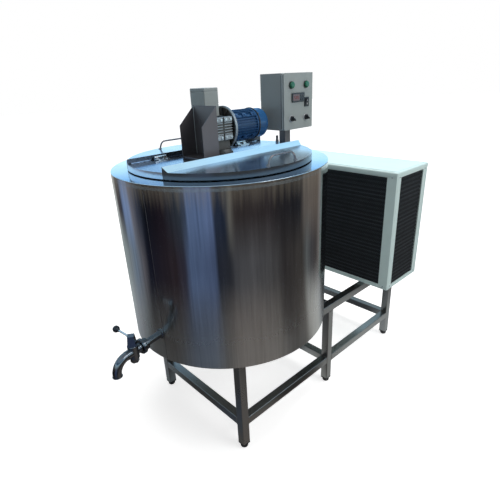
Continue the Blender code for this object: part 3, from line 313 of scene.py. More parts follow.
class Tree:
    """A node tree under construction."""

    def __init__(self, tree):
        self.nodes, self.links = tree.nodes, tree.links

    def feed(self, socket, value):
        """Link a wire to a socket, or set its value."""
        if isinstance(value, Wire):
            self.links.new(value.socket, socket)
        elif isinstance(value, tuple) and len(value) == 3 and socket.type == "RGBA":
            socket.default_value = (*value, 1)
        else:
            socket.default_value = value

    def node(self, kind, settings=None, *values, out=0, **sockets):
        """Add a node: its settings first, then the values or wires of its sockets."""
        made = self.nodes.new(kind)
        for key, value in (settings or {}).items():
            if key == "stops":
                stops = made.color_ramp.elements
                for position, colour in value[1:-1]:
                    stops.new(position).color = (*colour, 1)
                for stop, (position, colour) in ((stops[0], value[0]), (stops[-1], value[-1])):
                    stop.position, stop.color = position, (*colour, 1)
            else:
                setattr(made, key, value)
        for number, value in enumerate(values):
            self.feed(made.inputs[number], value)
        for name, value in sockets.items():
            self.feed(pick(made.inputs, name), value)
        return Wire(self, pick(made.outputs, out))

    def vector(self, operation, *values, out="Vector"):
        return self.node("ShaderNodeVectorMath", {"operation": operation}, *values, out=out)

    def length(self, point):
        return self.vector("LENGTH", point, out="Value")

    def joined(self, x, y, z=0.0):
        """A vector from three numbers."""
        return self.node("ShaderNodeCombineXYZ", None, x, y, z)

    def parts(self, point):
        """The three numbers of a vector."""
        outputs = self.node("ShaderNodeSeparateXYZ", None, point).socket.node.outputs
        return [Wire(self, output) for output in outputs]

    def bearing(self, x, y):
        """Angle about the upright axis, in radians."""
        return x.maths("ARCTAN2", y, x)

    def noise(self, point, scale, detail=3.0, roughness=0.5):
        return self.node("ShaderNodeTexNoise", None, Vector=point, Scale=scale, Detail=detail,
                         Roughness=roughness)

    def stretched(self, point, across, detail):
        """Noise drawn out along the axes whose share in across is small."""
        return self.noise(self.vector("MULTIPLY", point, across), 1.0, detail)

    def mix(self, factor, low, high):
        """Blend two colours."""
        return self.node("ShaderNodeMix", {"data_type": "RGBA"}, Factor_Float=factor, A_Color=low,
                         B_Color=high, out="Result_Color")

    def ramp(self, value, low, high):
        """Spread a value from low..high to 0..1, cut at both ends."""
        return self.node("ShaderNodeMapRange", {"clamp": True}, value, low, high, 0.0, 1.0)

    def colours(self, value, stops, whole=1):
        """Colours at places on a scale from 0 to a whole, blended between them."""
        stops = [(place / whole, colour) for place, colour in stops]
        return self.node("ShaderNodeValToRGB", {"stops": stops}, value)

    def ray(self, kind):
        """1 where a ray is of this kind."""
        return self.node("ShaderNodeLightPath", out=f"Is_{kind}_Ray")


class Finish(Tree):
    """A material under construction, on one Principled shader."""

    def __init__(self, name, **constants):
        self.material = bpy.data.materials.new(name)
        self.material.use_nodes = True
        super().__init__(self.material.node_tree)
        self.shader = self.nodes["Principled BSDF"]
        self.show(**constants)

    def place(self):
        """The point on the surface, from the tank's axis."""
        return self.vector("SUBTRACT", self.node("ShaderNodeTexCoord", out="Object"), tuple(AXIS))

    def bump(self, height, strength, distance=0.001):
        """Raise the surface by a height pattern."""
        self.show(Normal=self.node("ShaderNodeBump", None, Strength=strength, Distance=distance,
                                   Height=height))

    def show(self, **sockets):
        """Set the shader's sockets and return the material."""
        for name, value in sockets.items():
            self.feed(pick(self.shader.inputs, name), value)
        return self.material


def brushed(name, colour, grain, roughness, spread=0.12, bump=0.10, **constants):
    """Brushed steel: fine lines drawn out along the axes with small shares in grain."""
    steel = Finish(name, Metallic=1.0, **constants)
    point = steel.place()
    lines = steel.stretched(point, grain, 2.0)
    haze = steel.noise(point, 7.0, 3.0)
    shade = steel.mix(lines * 0.6 + haze * 0.4, shaded(colour, 0.84), colour)
    steel.bump(lines, bump, 0.0006)
    return steel.show(Base_Color=shade, Roughness=roughness + (lines - 0.5) * spread + (haze - 0.5) * 0.14)


def polished_shell():
    """The tank's mirror-like wall: fine lines round it, a hazier foot, and wiped smears."""
    steel = Finish("shell_steel", Metallic=1.0, Anisotropic=0.75, Anisotropic_Rotation=0.25)
    x, y, z = steel.parts(steel.place())
    round_it = steel.joined(steel.bearing(x, y) * SHELL_R, z)
    lines = steel.stretched(round_it, (6.0, 900.0, 1.0), 2.0)
    drawn = steel.stretched(round_it, (70.0, 2.5, 1.0), 3.0)
    smears = steel.noise(round_it, 6.0, 4.0, 0.6)
    foot = steel.ramp(z, 0.95, 0.55)
    band = (z > BAND_LOW) * (z < BAND_HIGH)
    fine = steel.ramp(steel.stretched(round_it, (210.0, 3.5, 1.0), 2.0), 0.35, 0.7)
    cloudy = steel.ramp(drawn, 0.30, 0.70) * 0.6 + smears * 0.4
    tone = steel.mix(cloudy, (0.35, 0.345, 0.34), (0.57, 0.56, 0.55))
    tone = steel.mix(foot * fine * 0.4, tone, (0.80, 0.78, 0.74))
    tone = steel.mix(foot * 0.40, tone, (0.40, 0.37, 0.33))
    tone = steel.mix(band * 0.30, tone, (0.30, 0.29, 0.29))
    rough = 0.060 + foot * 0.26 + (drawn - 0.5) * 0.06 + (smears - 0.5) * 0.06 + band * 0.12
    steel.bump(lines * 0.35 + drawn * 0.65, 0.08, 0.0008)
    return steel.show(Base_Color=tone, Roughness=rough)


def cast(name, colour, roughness=0.48):
    """As-cast metal: a fine sandy skin with darker hollows."""
    metal = Finish(name, Metallic=1.0)
    point = metal.place()
    grains = metal.noise(point, 650.0, 3.0)
    stains = metal.noise(point, 22.0, 4.0)
    metal.bump(grains, 0.35, 0.0006)
    shade = metal.mix(stains * 0.8 + grains * 0.2, shaded(colour, 0.62), colour)
    return metal.show(Base_Color=shade, Roughness=roughness + (stains - 0.5) * 0.25)


def painted(name, colour, roughness, skin=0.10, dirt=0.12, scale=420.0, worn=(0.30, 0.29, 0.27), **constants):
    """Stoved paint: orange-peel skin, a little grime and slight changes of shade."""
    paint = Finish(name, **constants)
    point = paint.place()
    peel = paint.noise(point, scale, 2.0)
    grime = paint.noise(point, 5.5, 5.0, 0.62)
    spots = paint.ramp(paint.noise(point, 46.0, 3.0), 0.66, 0.78)
    shade = paint.mix(paint.ramp(grime, 0.35, 0.75) * dirt, colour, shaded(colour, 0.55))
    shade = paint.mix(spots * dirt, shade, worn)
    paint.bump(peel, skin, 0.0005)
    return paint.show(Base_Color=shade, Roughness=roughness + (grime - 0.5) * 0.18 + spots * 0.1)


def screen(name, colour, dark):
    """Painted wires with painted shade in level bands: darker outside one strip in each slat pitch, standing
    in for the light and shade of the slats behind them.
    """
    paint = Finish(name, Specular_IOR_Level=0.2)
    point = paint.place()
    level = paint.parts(point)[2] / SLAT_PITCH
    step = level.maths("FRACT", level)
    dust = paint.noise(point, 26.0, 4.0)
    # painted shade: the wires darken outside one strip in each slat pitch, as if shaded by the slats behind
    shade = paint.mix(paint.ramp(step, 0.30, 0.55) * paint.ramp(step, 1.0, 0.80), dark, colour)
    paint.bump(paint.noise(point, 300.0, 2.0), 0.10, 0.0005)
    return paint.show(Base_Color=paint.mix(dust * 0.3, shade, dark), Roughness=0.58 + (dust - 0.5) * 0.2)


def moulded(name, colour, roughness, scale=900.0, skin=0.20, **constants):
    """Moulded plastic or rubber with a fine spark-eroded skin."""
    plastic = Finish(name, **constants)
    point = plastic.place()
    skin_noise = plastic.noise(point, scale, 2.0)
    dust = plastic.noise(point, 30.0, 4.0)
    plastic.bump(skin_noise, skin, 0.0004)
    shade = plastic.mix(plastic.ramp(dust, 0.45, 0.8) * 0.5, colour, shaded(colour, 1.5, 0.010))
    return plastic.show(Base_Color=shade, Roughness=roughness + (dust - 0.5) * 0.16)


SHELL = polished_shell()
# copies of the lid steel: painted light on the sloping folds, painted shade on the upright skirts
FOLD_PAINTED_LIGHT = brushed("fold_steel", (0.88, 1.0, 1.0), (5.0, 700.0, 700.0), 0.30, 0.08, 0.02)
SKIRT_PAINTED_SHADE = brushed("skirt_steel", (0.125, 0.13, 0.145), (40.0, 40.0, 300.0), 0.20, 0.06, 0.02)
# the blue tint of the lid steel is a painted sky reflection
LID_SKY_TINTED = brushed("lid_steel", (0.56, 0.62, 0.73), (5.0, 700.0, 700.0), 0.19, 0.08, 0.012)
RIM = brushed("rim_steel", (0.68, 0.69, 0.70), (60.0, 60.0, 400.0), 0.12, 0.08, 0.06)
INNER = brushed("vessel_steel", (0.62, 0.62, 0.61), (14.0, 14.0, 500.0), 0.20)
TUBE = brushed("tube_steel", (0.28, 0.28, 0.275), (260.0, 260.0, 260.0), 0.30)
BRACKET = brushed("bracket_steel", (0.165, 0.140, 0.136), (130.0, 130.0, 7.0), 0.50, 0.06, 0.01)
TAP = brushed("tap_steel", (0.19, 0.195, 0.205), (120.0, 120.0, 120.0), 0.16, 0.08, 0.06)
BRIGHT = brushed("bright_steel", (0.70, 0.70, 0.70), (180.0, 180.0, 180.0), 0.18, 0.08, 0.05)
BOW = brushed("bow_steel", (0.30, 0.25, 0.235), (180.0, 180.0, 180.0), 0.20, 0.08, 0.04)
WELD = brushed("weld_steel", (0.40, 0.37, 0.34), (500.0, 500.0, 500.0), 0.36, 0.2, 0.5)
CAST = cast("cast_aluminium", (0.40, 0.40, 0.39))
# a darker copy of the cast aluminium: painted shade on the gearbox's recesses and underside
CAST_SHADE = cast("dark_casting", (0.15, 0.135, 0.12), 0.6)
BLUE = painted("motor_blue", (0.014, 0.062, 0.16), 0.30, 0.25, 0.35, 300.0, (0.10, 0.12, 0.14))
COWL = painted("cowl_blue", (0.016, 0.085, 0.22), 0.24, 0.10, 0.15, 300.0, (0.12, 0.16, 0.20))
GREY = painted("enclosure_grey", (0.285, 0.312, 0.302), 0.40, 0.30, 0.10, 700.0)
# a paler copy of the enclosure grey: painted highlight on the control box's edges
LIP_HIGHLIGHT = painted("lip_grey", (0.42, 0.46, 0.45), 0.36, 0.20, 0.08, 700.0)
WHITE = painted("cabinet_white", (0.61, 0.76, 0.745), 0.34, 0.12, 0.14, 500.0, (0.34, 0.32, 0.28))
MESH = painted("mesh_black", (0.010, 0.011, 0.012), 0.60, 0.20, 0.25, 300.0, (0.06, 0.06, 0.06),
               Specular_IOR_Level=0.4)
# wire finish with painted shade in level bands at the slat pitch
WIRES = screen("wire_black", (0.062, 0.068, 0.076), (0.020, 0.022, 0.024))
SHROUD = painted("compressor_black", (0.014, 0.014, 0.015), 0.30, 0.12, 0.20, 200.0, (0.05, 0.05, 0.05))
PLASTIC = moulded("black_plastic", (0.012, 0.012, 0.014), 0.36)
RUBBER = moulded("black_rubber", (0.010, 0.010, 0.011), 0.62, 500.0, 0.35)
KNOB = moulded("black_ball", (0.006, 0.006, 0.010), 0.16, 900.0, 0.04)
PALE = moulded("pale_plastic", (0.58, 0.60, 0.62), 0.40)


def lamp_lens():
    """Moulded green lens with fine ribs inside it."""
    lens = Finish("green_lens", Coat_Weight=0.25, Coat_Roughness=0.10)
    point = lens.place()
    cells = lens.node("ShaderNodeTexVoronoi", None, Vector=point, Scale=420.0)
    cloud = lens.noise(point, 90.0, 2.0)
    lens.bump(cells, 0.15, 0.0004)
    shade = lens.mix(cells * 0.5 + cloud * 0.5, (0.000, 0.060, 0.026), (0.002, 0.145, 0.060))
    return lens.show(Base_Color=shade, Roughness=0.20 + cloud * 0.12)


def display_window():
    """Dark red filter of the controller's display."""
    glass = Finish("display_window", Coat_Weight=0.8, Coat_Roughness=0.05)
    point = glass.place()
    cloud = glass.noise(point, 160.0, 2.0)
    shade = glass.mix(cloud, (0.045, 0.008, 0.008), (0.090, 0.014, 0.013))
    return glass.show(Base_Color=shade, Roughness=0.18 + cloud * 0.1)


def foam():
    """Rigid foam: closed cells and a slightly browned skin."""
    cellular = Finish("rigid_foam")
    point = cellular.place()
    cells = cellular.node("ShaderNodeTexVoronoi", None, Vector=point, Scale=700.0)
    skin = cellular.noise(point, 9.0, 4.0)
    cellular.bump(cells, 0.6, 0.001)
    return cellular.show(Base_Color=cellular.mix(skin, (0.66, 0.50, 0.26), (0.82, 0.70, 0.44)),
                         Roughness=0.82 + (cells - 0.5) * 0.2)


def copper():
    """Drawn copper with brown tarnish."""
    tube = Finish("drawn_copper", Metallic=1.0)
    point = tube.place()
    tarnish = tube.noise(point, 24.0, 5.0, 0.6)
    tube.bump(tube.noise(point, 300.0, 2.0), 0.10, 0.0005)
    shade = tube.mix(tube.ramp(tarnish, 0.35, 0.7), (0.72, 0.36, 0.22), (0.30, 0.16, 0.10))
    return tube.show(Base_Color=shade, Roughness=0.26 + tarnish * 0.25)


def fins():
    """Aluminium fins: thin upright lines and patches of dust."""
    metal = Finish("fin_aluminium", Metallic=0.9)
    point = metal.place()
    lines = metal.stretched(point, (1.0, 900.0, 4.0), 1.0)
    dust = metal.noise(point, 14.0, 5.0, 0.6)
    shade = metal.mix(metal.ramp(dust, 0.4, 0.8) * 0.7, (0.58, 0.59, 0.60), (0.26, 0.24, 0.21))
    metal.bump(lines, 0.3, 0.0008)
    return metal.show(Base_Color=metal.mix(lines * 0.5, shade, (0.22, 0.22, 0.22)),
                      Roughness=0.36 + dust * 0.2)


def lit_figure():
    """Lit bars of the display."""
    bar = Finish("display_figure", Emission_Strength=0.05)
    cloud = bar.noise(bar.place(), 300.0, 2.0)
    shade = bar.mix(cloud, (0.17, 0.022, 0.018), (0.24, 0.032, 0.026))
    return bar.show(Base_Color=shade, Emission_Color=shade, Roughness=0.3 + cloud * 0.1)


KEYS = moulded("key_plastic", (0.060, 0.062, 0.068), 0.42)
LENS, WINDOW, FOAM, COPPER, FINS = lamp_lens(), display_window(), foam(), copper(), fins()
FIGURE = lit_figure()


# --------------------------------------------------------- camera and studio
# What the steel mirrors. The first number of a stop is an angle about the tank's axis in degrees, or a height
# for SKYLINE, or a share of the way up for SKY.
FLOOR_GLOW = 0.69
SKY = [(0.0, (0.60, 0.72, 0.80)), (0.35, (0.36, 0.60, 0.86)), (0.70, (0.54, 0.92, 1.30)),
       (0.88, (0.50, 0.66, 0.80)), (1.0, (0.40, 0.43, 0.46))]
SKY_LIGHT = 0.175
YARD_R = 2.4
YARD_TOP = 2.4
UPRIGHTS = [(0, (0.14, 0.17, 0.19)), (9, (0.04, 0.05, 0.06)), (18, (0.016, 0.022, 0.026)),
            (40, (0.34, 0.36, 0.38)), (62, (0.10, 0.10, 0.11)), (92, (0.60, 0.64, 0.64)),
            (101, (0.10, 0.095, 0.10)), (110, (0.06, 0.07, 0.10)), (116, (0.26, 0.38, 0.66)),
            (126, (0.30, 0.42, 0.70)), (131, (0.25, 0.26, 0.32)), (140, (0.070, 0.085, 0.13)),
            (150, (0.008, 0.011, 0.019)), (172, (0.020, 0.015, 0.024)), (189, (0.05, 0.065, 0.09)),
            (196, (0.07, 0.10, 0.17)), (197, (0.17, 0.26, 0.48)), (206, (0.17, 0.265, 0.50)),
            (207, (0.09, 0.14, 0.28)), (208, (0.17, 0.265, 0.50)), (220, (0.17, 0.25, 0.48)),
            (221.5, (0.03, 0.045, 0.085)), (231, (0.022, 0.034, 0.065)), (235, (0.20, 0.20, 0.185)),
            (240, (0.056, 0.048, 0.048)), (271, (0.048, 0.041, 0.045)), (284, (0.028, 0.027, 0.032)),
            (308, (0.028, 0.030, 0.038)), (316, (0.21, 0.19, 0.175)), (338, (0.19, 0.16, 0.14)),
            (345, (0.34, 0.35, 0.35)), (350, (0.03, 0.045, 0.06))]
GROUND = [(0, (0.05, 0.06, 0.07)), (30, (0.30, 0.32, 0.34)), (60, (0.18, 0.18, 0.17)),
          (98, (0.46, 0.52, 0.55)), (125, (0.30, 0.32, 0.35)), (134, (0.20, 0.24, 0.26)),
          (146, (0.080, 0.080, 0.080)), (180, (0.080, 0.080, 0.080)), (192, (0.085, 0.10, 0.13)),
          (214, (0.10, 0.12, 0.15)), (228, (0.16, 0.15, 0.14)), (238, (0.26, 0.235, 0.22)),
          (270, (0.24, 0.225, 0.215)), (280, (0.17, 0.16, 0.15)), (284, (0.070, 0.062, 0.060)),
          (294, (0.055, 0.048, 0.046)), (312, (0.12, 0.11, 0.105)), (317, (0.56, 0.58, 0.57)),
          (335, (0.74, 0.78, 0.78)), (344, (0.60, 0.66, 0.70)), (350, (0.08, 0.09, 0.105))]
KERB = [(0, (0.035, 0.04, 0.05)), (60, (0.10, 0.10, 0.11)), (96, (0.33, 0.39, 0.40)),
        (112, (0.27, 0.32, 0.36)), (124, (0.23, 0.31, 0.42)), (138, (0.17, 0.17, 0.20)),
        (147, (0.012, 0.015, 0.03)), (180, (0.040, 0.030, 0.038)), (190, (0.05, 0.05, 0.08)),
        (196, (0.13, 0.20, 0.37)), (219, (0.11, 0.16, 0.30)), (222, (0.028, 0.035, 0.055)),
        (233, (0.04, 0.045, 0.06)), (242, (0.12, 0.125, 0.14)), (258, (0.12, 0.123, 0.135)),
        (280, (0.09, 0.09, 0.095)), (287, (0.05, 0.047, 0.05)), (312, (0.08, 0.075, 0.072)),
        (319, (0.17, 0.19, 0.20)), (328, (0.09, 0.09, 0.10)), (338, (0.10, 0.09, 0.09)),
        (345, (0.29, 0.285, 0.28)), (351, (0.026, 0.028, 0.04))]
SKYLINE = [(0.0, (0.40, 0.50, 0.56)), (1.20, (0.60, 0.80, 0.90)), (1.50, (1.00, 1.42, 1.60)),
           (1.68, (0.82, 1.30, 1.58)), (1.77, (0.42, 0.98, 1.75)), (1.85, (0.16, 0.38, 0.74)),
           (1.94, (0.09, 0.13, 0.20)), (2.2, (0.10, 0.13, 0.18)), (2.4, (0.38, 0.62, 0.86))]


def camera():
    """A camera at standing height, off the tank's tap side."""
    yaw, pitch, roll = (math.radians(angle) for angle in (47.551, 22.768, -2.717))
    ahead = Vector((math.cos(yaw) * math.cos(pitch), math.sin(yaw) * math.cos(pitch), -math.sin(pitch)))
    right = Vector((math.sin(yaw), -math.cos(yaw), 0))
    up = right.cross(ahead)
    across = right * math.cos(roll) + up * math.sin(roll)
    upright = up * math.cos(roll) - right * math.sin(roll)
    data = bpy.data.cameras.new("camera")
    data.sensor_width = 36.0
    data.lens = 29.242
    data.shift_y = -0.002
    made = put("camera", data)
    made.matrix_world = Matrix.Translation(Vector((-1.130, -1.399, 1.577)) + AXIS) @ Matrix(
        (across, upright, -ahead)).transposed().to_4x4()
    bpy.context.scene.camera = made


def lamp(name, at, target, size, power, mirrored=True):
    """A soft rectangular lamp that faces a point; steel may mirror it or not."""
    data = bpy.data.lights.new(name, "AREA")
    data.shape = "RECTANGLE"
    data.size, data.size_y = size
    data.energy = power
    made = put(name, data)
    made.matrix_world = towards(at, Vector(at) - Vector(target))
    made.visible_glossy = mirrored


def stage(name, form, finish):
    """Make an object of the studio."""
    made = put(name, meshed(name, form))
    made.data.materials.append(finish)
    made.location = AXIS
    return made


def floor():
    """A pale floor that is white to the camera and takes the object's shadow."""
    paper = Finish("floor_paper", Base_Color=(0.80, 0.80, 0.80), Roughness=1.0, Emission_Strength=1.0)
    seen = paper.ray("Camera") + paper.ray("Glossy") + paper.ray("Transmission")
    reach = paper.length(paper.node("ShaderNodeTexCoord", out="Object"))
    glow = paper.mix(paper.ramp(reach, 1.4, 5.0), (FLOOR_GLOW,) * 3, (1.0, 1.0, 1.0))
    paper.show(Emission_Color=paper.mix(seen, (0.0, 0.0, 0.0), glow))
    form = bmesh.new()
    bmesh.ops.create_circle(form, cap_ends=True, segments=96, radius=30.0)
    stage("floor", form, paper.material)


def surroundings():
    """What the steel mirrors: a yard with dark and light uprights, seen by reflections only."""
    air = Finish("yard", Base_Color=(0, 0, 0), Roughness=1.0, Specular_IOR_Level=0.0, Emission_Strength=1.0)
    point = air.node("ShaderNodeTexCoord", out="Object")
    x, y, z = air.parts(point)
    turn = air.bearing(x, y) / math.tau + 1.0
    turn = turn.maths("FRACT", turn)
    far, near, kerb = (air.colours(turn, stops, 360) for stops in (UPRIGHTS, GROUND, KERB))
    reach = air.length(air.joined(x, y))
    soft = air.noise(point, 1.6, 3.0)
    away = air.ramp(reach + (soft - 0.5) * 0.5, 1.35, 2.05)
    gaps = air.noise(air.joined(turn * 90.0, 0.0), 1.0, 2.0)
    fence = air.ramp(z + (gaps - 0.5) * 0.5, 0.58, 0.80) * (0.10 + gaps * 0.40)
    far = air.mix(air.ramp(z + (gaps - 0.5) * 0.1, 0.50, 0.10), far, kerb)
    shade = air.mix(fence, air.mix(away, near, far), (0.42, 0.38, 0.30))
    height = z + (air.noise(point, 2.6, 2.0) - 0.5) * 0.14
    height = height + air.ramp(turn, 0.165, 0.135) * air.ramp(turn, 0.082, 0.100) * 0.03
    above = air.colours(height / YARD_TOP, SKYLINE, YARD_TOP)
    air.show(Emission_Color=air.mix(air.ramp(z, 0.86, 1.12), shade, above))
    air.material.cycles.emission_sampling = "NONE"
    form = bmesh.new()
    rim = bmesh.ops.create_circle(form, cap_ends=True, segments=96, radius=YARD_R)["verts"]
    bmesh.ops.translate(form, vec=(0, 0, 0.004), verts=rim)
    raised = bmesh.ops.extrude_edge_only(form, edges=form.edges[:])["geom"]
    bmesh.ops.translate(form, vec=(0, 0, YARD_TOP), verts=verts_in(raised))
    yard = stage("yard", form, air.material)
    yard.visible_camera = yard.visible_diffuse = yard.visible_shadow = yard.visible_transmission = False


def world():
    """White to the camera, pale sky to metal, and a plain soft light."""
    sky = bpy.data.worlds.new("studio")
    bpy.context.scene.world = sky
    sky.use_nodes = True
    air = Tree(sky.node_tree)
    point = air.node("ShaderNodeTexCoord", out="Generated")
    dome = air.colours(air.parts(point)[2], SKY)
    veil = air.ramp(air.noise(point, 2.2, 2.0), 0.45, 0.70) * 0.45
    hazy = air.mix(veil, dome, (0.72, 0.86, 0.98))
    back = air.nodes["Background"]
    air.feed(back.inputs["Color"], air.mix(air.ray("Glossy"), (1.0, 1.0, 1.0), hazy))
    air.feed(back.inputs["Strength"], 1.0 - air.ray("Diffuse") * (1.0 - SKY_LIGHT))


camera()
floor()
surroundings()
world()
lamp("key", (1.0, -3.3, 3.0), (0.3, 0, 0.9), (2.2, 2.2), 62)
lamp("overhead", (0.6, 0.2, 4.2), (0.4, 0, 0.9), (3.0, 3.0), 120, False)
bpy.context.scene.view_settings.view_transform = "Standard"


# ------------------------------------------------------------------- stand
RAIL_LOW, RAIL_HIGH = corners("upper_cross_rail_1")
TUBE_SIDE = RAIL_HIGH.z - RAIL_LOW.z
HALF_TUBE = TUBE_SIDE / 2
WELD_AT = HALF_TUBE - 0.001     # a weld's distance from its tube's middle
LEGS = [centre_of(f"upper_cross_rail_{number}").x for number in (1, 2, 3)]


def bead(piece, at, across, up, half, finish=1):
    """A square run of weld round a tube's end."""
    across, up, at = Vector(across) * half, Vector(up) * half, Vector(at)
    ring = [at + across + up, at - across + up, at - across - up, at + across - up]
    for start, end in zip(ring, ring[1:] + ring[:1]):
        piece.add(rod(start, end, 0.0017, sides=8), finish)


def side_frames():
    """Two side frames of three legs, a rail and two lengths of stretcher."""
    stretcher = centre_of("lower_cross_rail_1").z
    for word in ("near", "far"):
        low, high = corners(f"{word}_side_frame")
        y, under = (low.y + high.y) / 2, high.z - TUBE_SIDE
        side = Piece(f"{word}_side_tubes", TUBE, WELD)
        side.add(block((low.x, low.y, under), high, TUBE_CORNER))
        for x in LEGS:
            side.add(block((x - HALF_TUBE, low.y, low.z), (x + HALF_TUBE, high.y, under), TUBE_CORNER))
            bead(side, (x, y, under), X, Y, WELD_AT)
        for left, right in zip(LEGS, LEGS[1:]):
            ends = left + HALF_TUBE, right - HALF_TUBE
            side.add(block((ends[0], low.y, stretcher - HALF_TUBE), (ends[1], high.y, stretcher + HALF_TUBE),
                           TUBE_CORNER))
            for x in ends:
                bead(side, (x, y, stretcher), Y, Z, WELD_AT)
        side.done(f"{word}_side_frame", slot="stainless")


def cross_tubes():
    """Six tubes across the stand, with a run of weld at each end."""
    for number in (1, 2, 3):
        for word in ("upper", "lower"):
            low, high = corners(f"{word}_cross_rail_{number}")
            middle = (low + high) / 2
            rail = Piece(f"{word}_cross_tube_{number}", TUBE, WELD)
            rail.add(block(low, high, TUBE_CORNER))
            for y in (low.y, high.y):
                bead(rail, (middle.x, y, middle.z), X, Z, WELD_AT)
            rail.done(f"{word}_cross_rail_{number}", slot="stainless")


def feet():
    """Six screwed feet with a square cap in each leg."""
    for number in range(1, 7):
        low, high = corners(f"foot_{number}")
        middle = (low + high) / 2
        place, top = moved(middle.x, middle.y, 0), high.z
        reach = HALF_TUBE - 0.0004
        foot = Piece(f"foot_cap_{number}", RUBBER)
        foot.add(turned([(0, 0), (0.0105, 0)] + arc((0.0105, 0.0075), 0.0075, -90, -10, 6) +
                        [(0.0185, top - 0.005), (0, top - 0.005)], place, 40))
        foot.add(block((middle.x - reach, middle.y - reach, top - 0.006),
                       (middle.x + reach, middle.y + reach, top), 0.0014, 2))
        foot.done(f"foot_{number}", slot="black_plastic")


# -------------------------------------------------------------------- tank
def shell():
    """The mirror-like shell: a seamed wall with a rolled foot."""
    low, high = corners("outer_shell")
    radius, wall, foot = high.x, 0.0025, 0.007
    profile = [(radius, high.z)] + arc((radius - foot, low.z + foot), foot, 0, -90, 8) + [
        (0, low.z), (0, low.z + wall), (radius - foot, low.z + wall), (radius - wall, low.z + foot),
        (radius - wall, high.z)]
    wall_piece = Piece("tank_shell", SHELL, BRACKET)
    wall_piece.add(turned(profile, steps=192))
    for angle in (193.5, 20.0):
        seam = Matrix.Rotation(math.radians(angle), 4, "Z")
        wall_piece.add(block((radius - 0.001, -0.0011, low.z + 0.010),
                             (radius + 0.0004, 0.0011, high.z - 0.024), 0.0003, 1), 1, seam)
    wall_piece.done("outer_shell", slot="stainless")


def vessel():
    """The milk vessel, with the rim that lies on the shell and the neck that the lids close."""
    radius = corners("outer_shell")[1].x
    low, high = corners("inner_vessel")
    neck, rim = 0.385, SHELL_HIGH.z + GAP
    edge = 0.0015
    profile = [(neck, high.z - edge),
               (neck, rim + 0.006), (neck + 0.003, rim + 0.003), (radius - edge, rim + 0.003)]
    profile += arc((radius - edge, rim + edge), edge, 90, -90, 6) + [(neck, rim), (neck, low.z + 0.012)]
    profile += arc((neck - 0.012, low.z + 0.012), 0.012, 0, -90, 6) + [(0, low.z), (0, low.z + 0.003)]
    profile += [(neck - 0.014, low.z + 0.003)] + arc((neck - 0.015, low.z + 0.015), 0.012, -90, 0, 6)
    profile += [(neck - 0.003, high.z - edge), (neck - edge, high.z)]
    inner = Piece("milk_vessel", RIM, INNER)
    inside = neck - 0.001
    inner.add(turned(profile, steps=192), lambda face: int(face.calc_center_median().xy.length < inside))
    inner.done("inner_vessel", slot="stainless")


def bridge():
    """The bridge between the lids, with its thermometer well."""
    sheet = Piece("bridge_sheet", LID_SKY_TINTED, BRACKET)
    well = Vector((0.364, 0))
    sheet.add(copied("bridge", 0.0007),
              lambda face: int((face.calc_center_median().xy - well).length < 0.006))
    sheet.add(turned([(0, 1.3150), (0.0052, 1.3140), (0.0060, 1.3125), (0.0060, 1.2950), (0.0075, 1.2940),
                      (0.0075, 1.2815), (0, 1.2815)], moved(*well, 0), 24), 1)
    sheet.done("bridge", slot="stainless")


def lid_finish(face):
    """Skirt steel with painted shade for upright faces, fold steel with painted light for sloping ones, and
    the plain sheet for the rest.
    """
    if abs(face.normal.z) < 0.3:
        return 2
    return int(face.normal.z > 0.3 and abs(face.normal.y) > 0.3)


def lid(word):
    """A half lid, folded down along its straight edge, with painted light or shade on its faces by their
    slope.
    """
    sheet = Piece(f"{word}_lid_sheet", LID_SKY_TINTED, FOLD_PAINTED_LIGHT, SKIRT_PAINTED_SHADE, body=f"{word}_lid")
    sheet.add(copied(f"{word}_lid", 0.0007), lid_finish)
    sheet.done(f"{word}_lid", slot="stainless")


def bow_handle(word):
    """A lid's handle: a bent bar with a small collar at each foot."""
    low, high = corners(f"{word}_lid_handle")
    y = (low.y + high.y) / 2
    reach, lean, radius, turn = 0.075, 0.012, 0.004, 0.028
    rise = high.z - radius - low.z - 0.004
    slope = math.atan2(rise, lean)
    taken = turn * math.tan(slope / 2)
    leg = math.hypot(rise, lean) - taken
    bow = Piece(f"{word}_lid_bow", BOW, body=f"{word}_lid")
    angle = math.degrees(slope)
    bow.add(bent((-reach, y, low.z), (lean, 0, rise), radius,
                 [leg, (angle, turn, Y), 2 * (reach - lean - taken), (angle, turn, Y), leg]))
    for x in (-reach, reach):
        bow.add(turned([(0, 0.003), (0.0062, 0.003)] + arc((0.0062, 0.0012), 0.0018, 90, 0, 4) +
                       [(0.008, 0), (0, 0)], moved(x, y, low.z), 32))
    bow.done(f"{word}_lid_handle", slot="stainless")


def lid_hinge(word, hand):
    """A hinge between a lid and the bridge, held by three rivets."""
    low, high = corners(f"{word}_{hand}_hinge")
    hinge = Piece(f"{word}_{hand}_hinge_leaf", BRIGHT)
    hinge.add(copied(f"{word}_{hand}_hinge", 0.0005))
    middle = (low.x + high.x) / 2
    side = -1 if word == "near" else 1
    y = (low.y if side > 0 else high.y) + side * 0.008
    for x in (middle - 0.018, middle, middle + 0.018):
        hinge.add(turned([(0, 0.0016), (0.0018, 0.0014), (0.0033, 0.0004), (0.0034, 0), (0, 0)],
                         moved(x, y, low.z + 0.0029), 20))
    hinge.done(f"{word}_{hand}_hinge", slot="stainless")


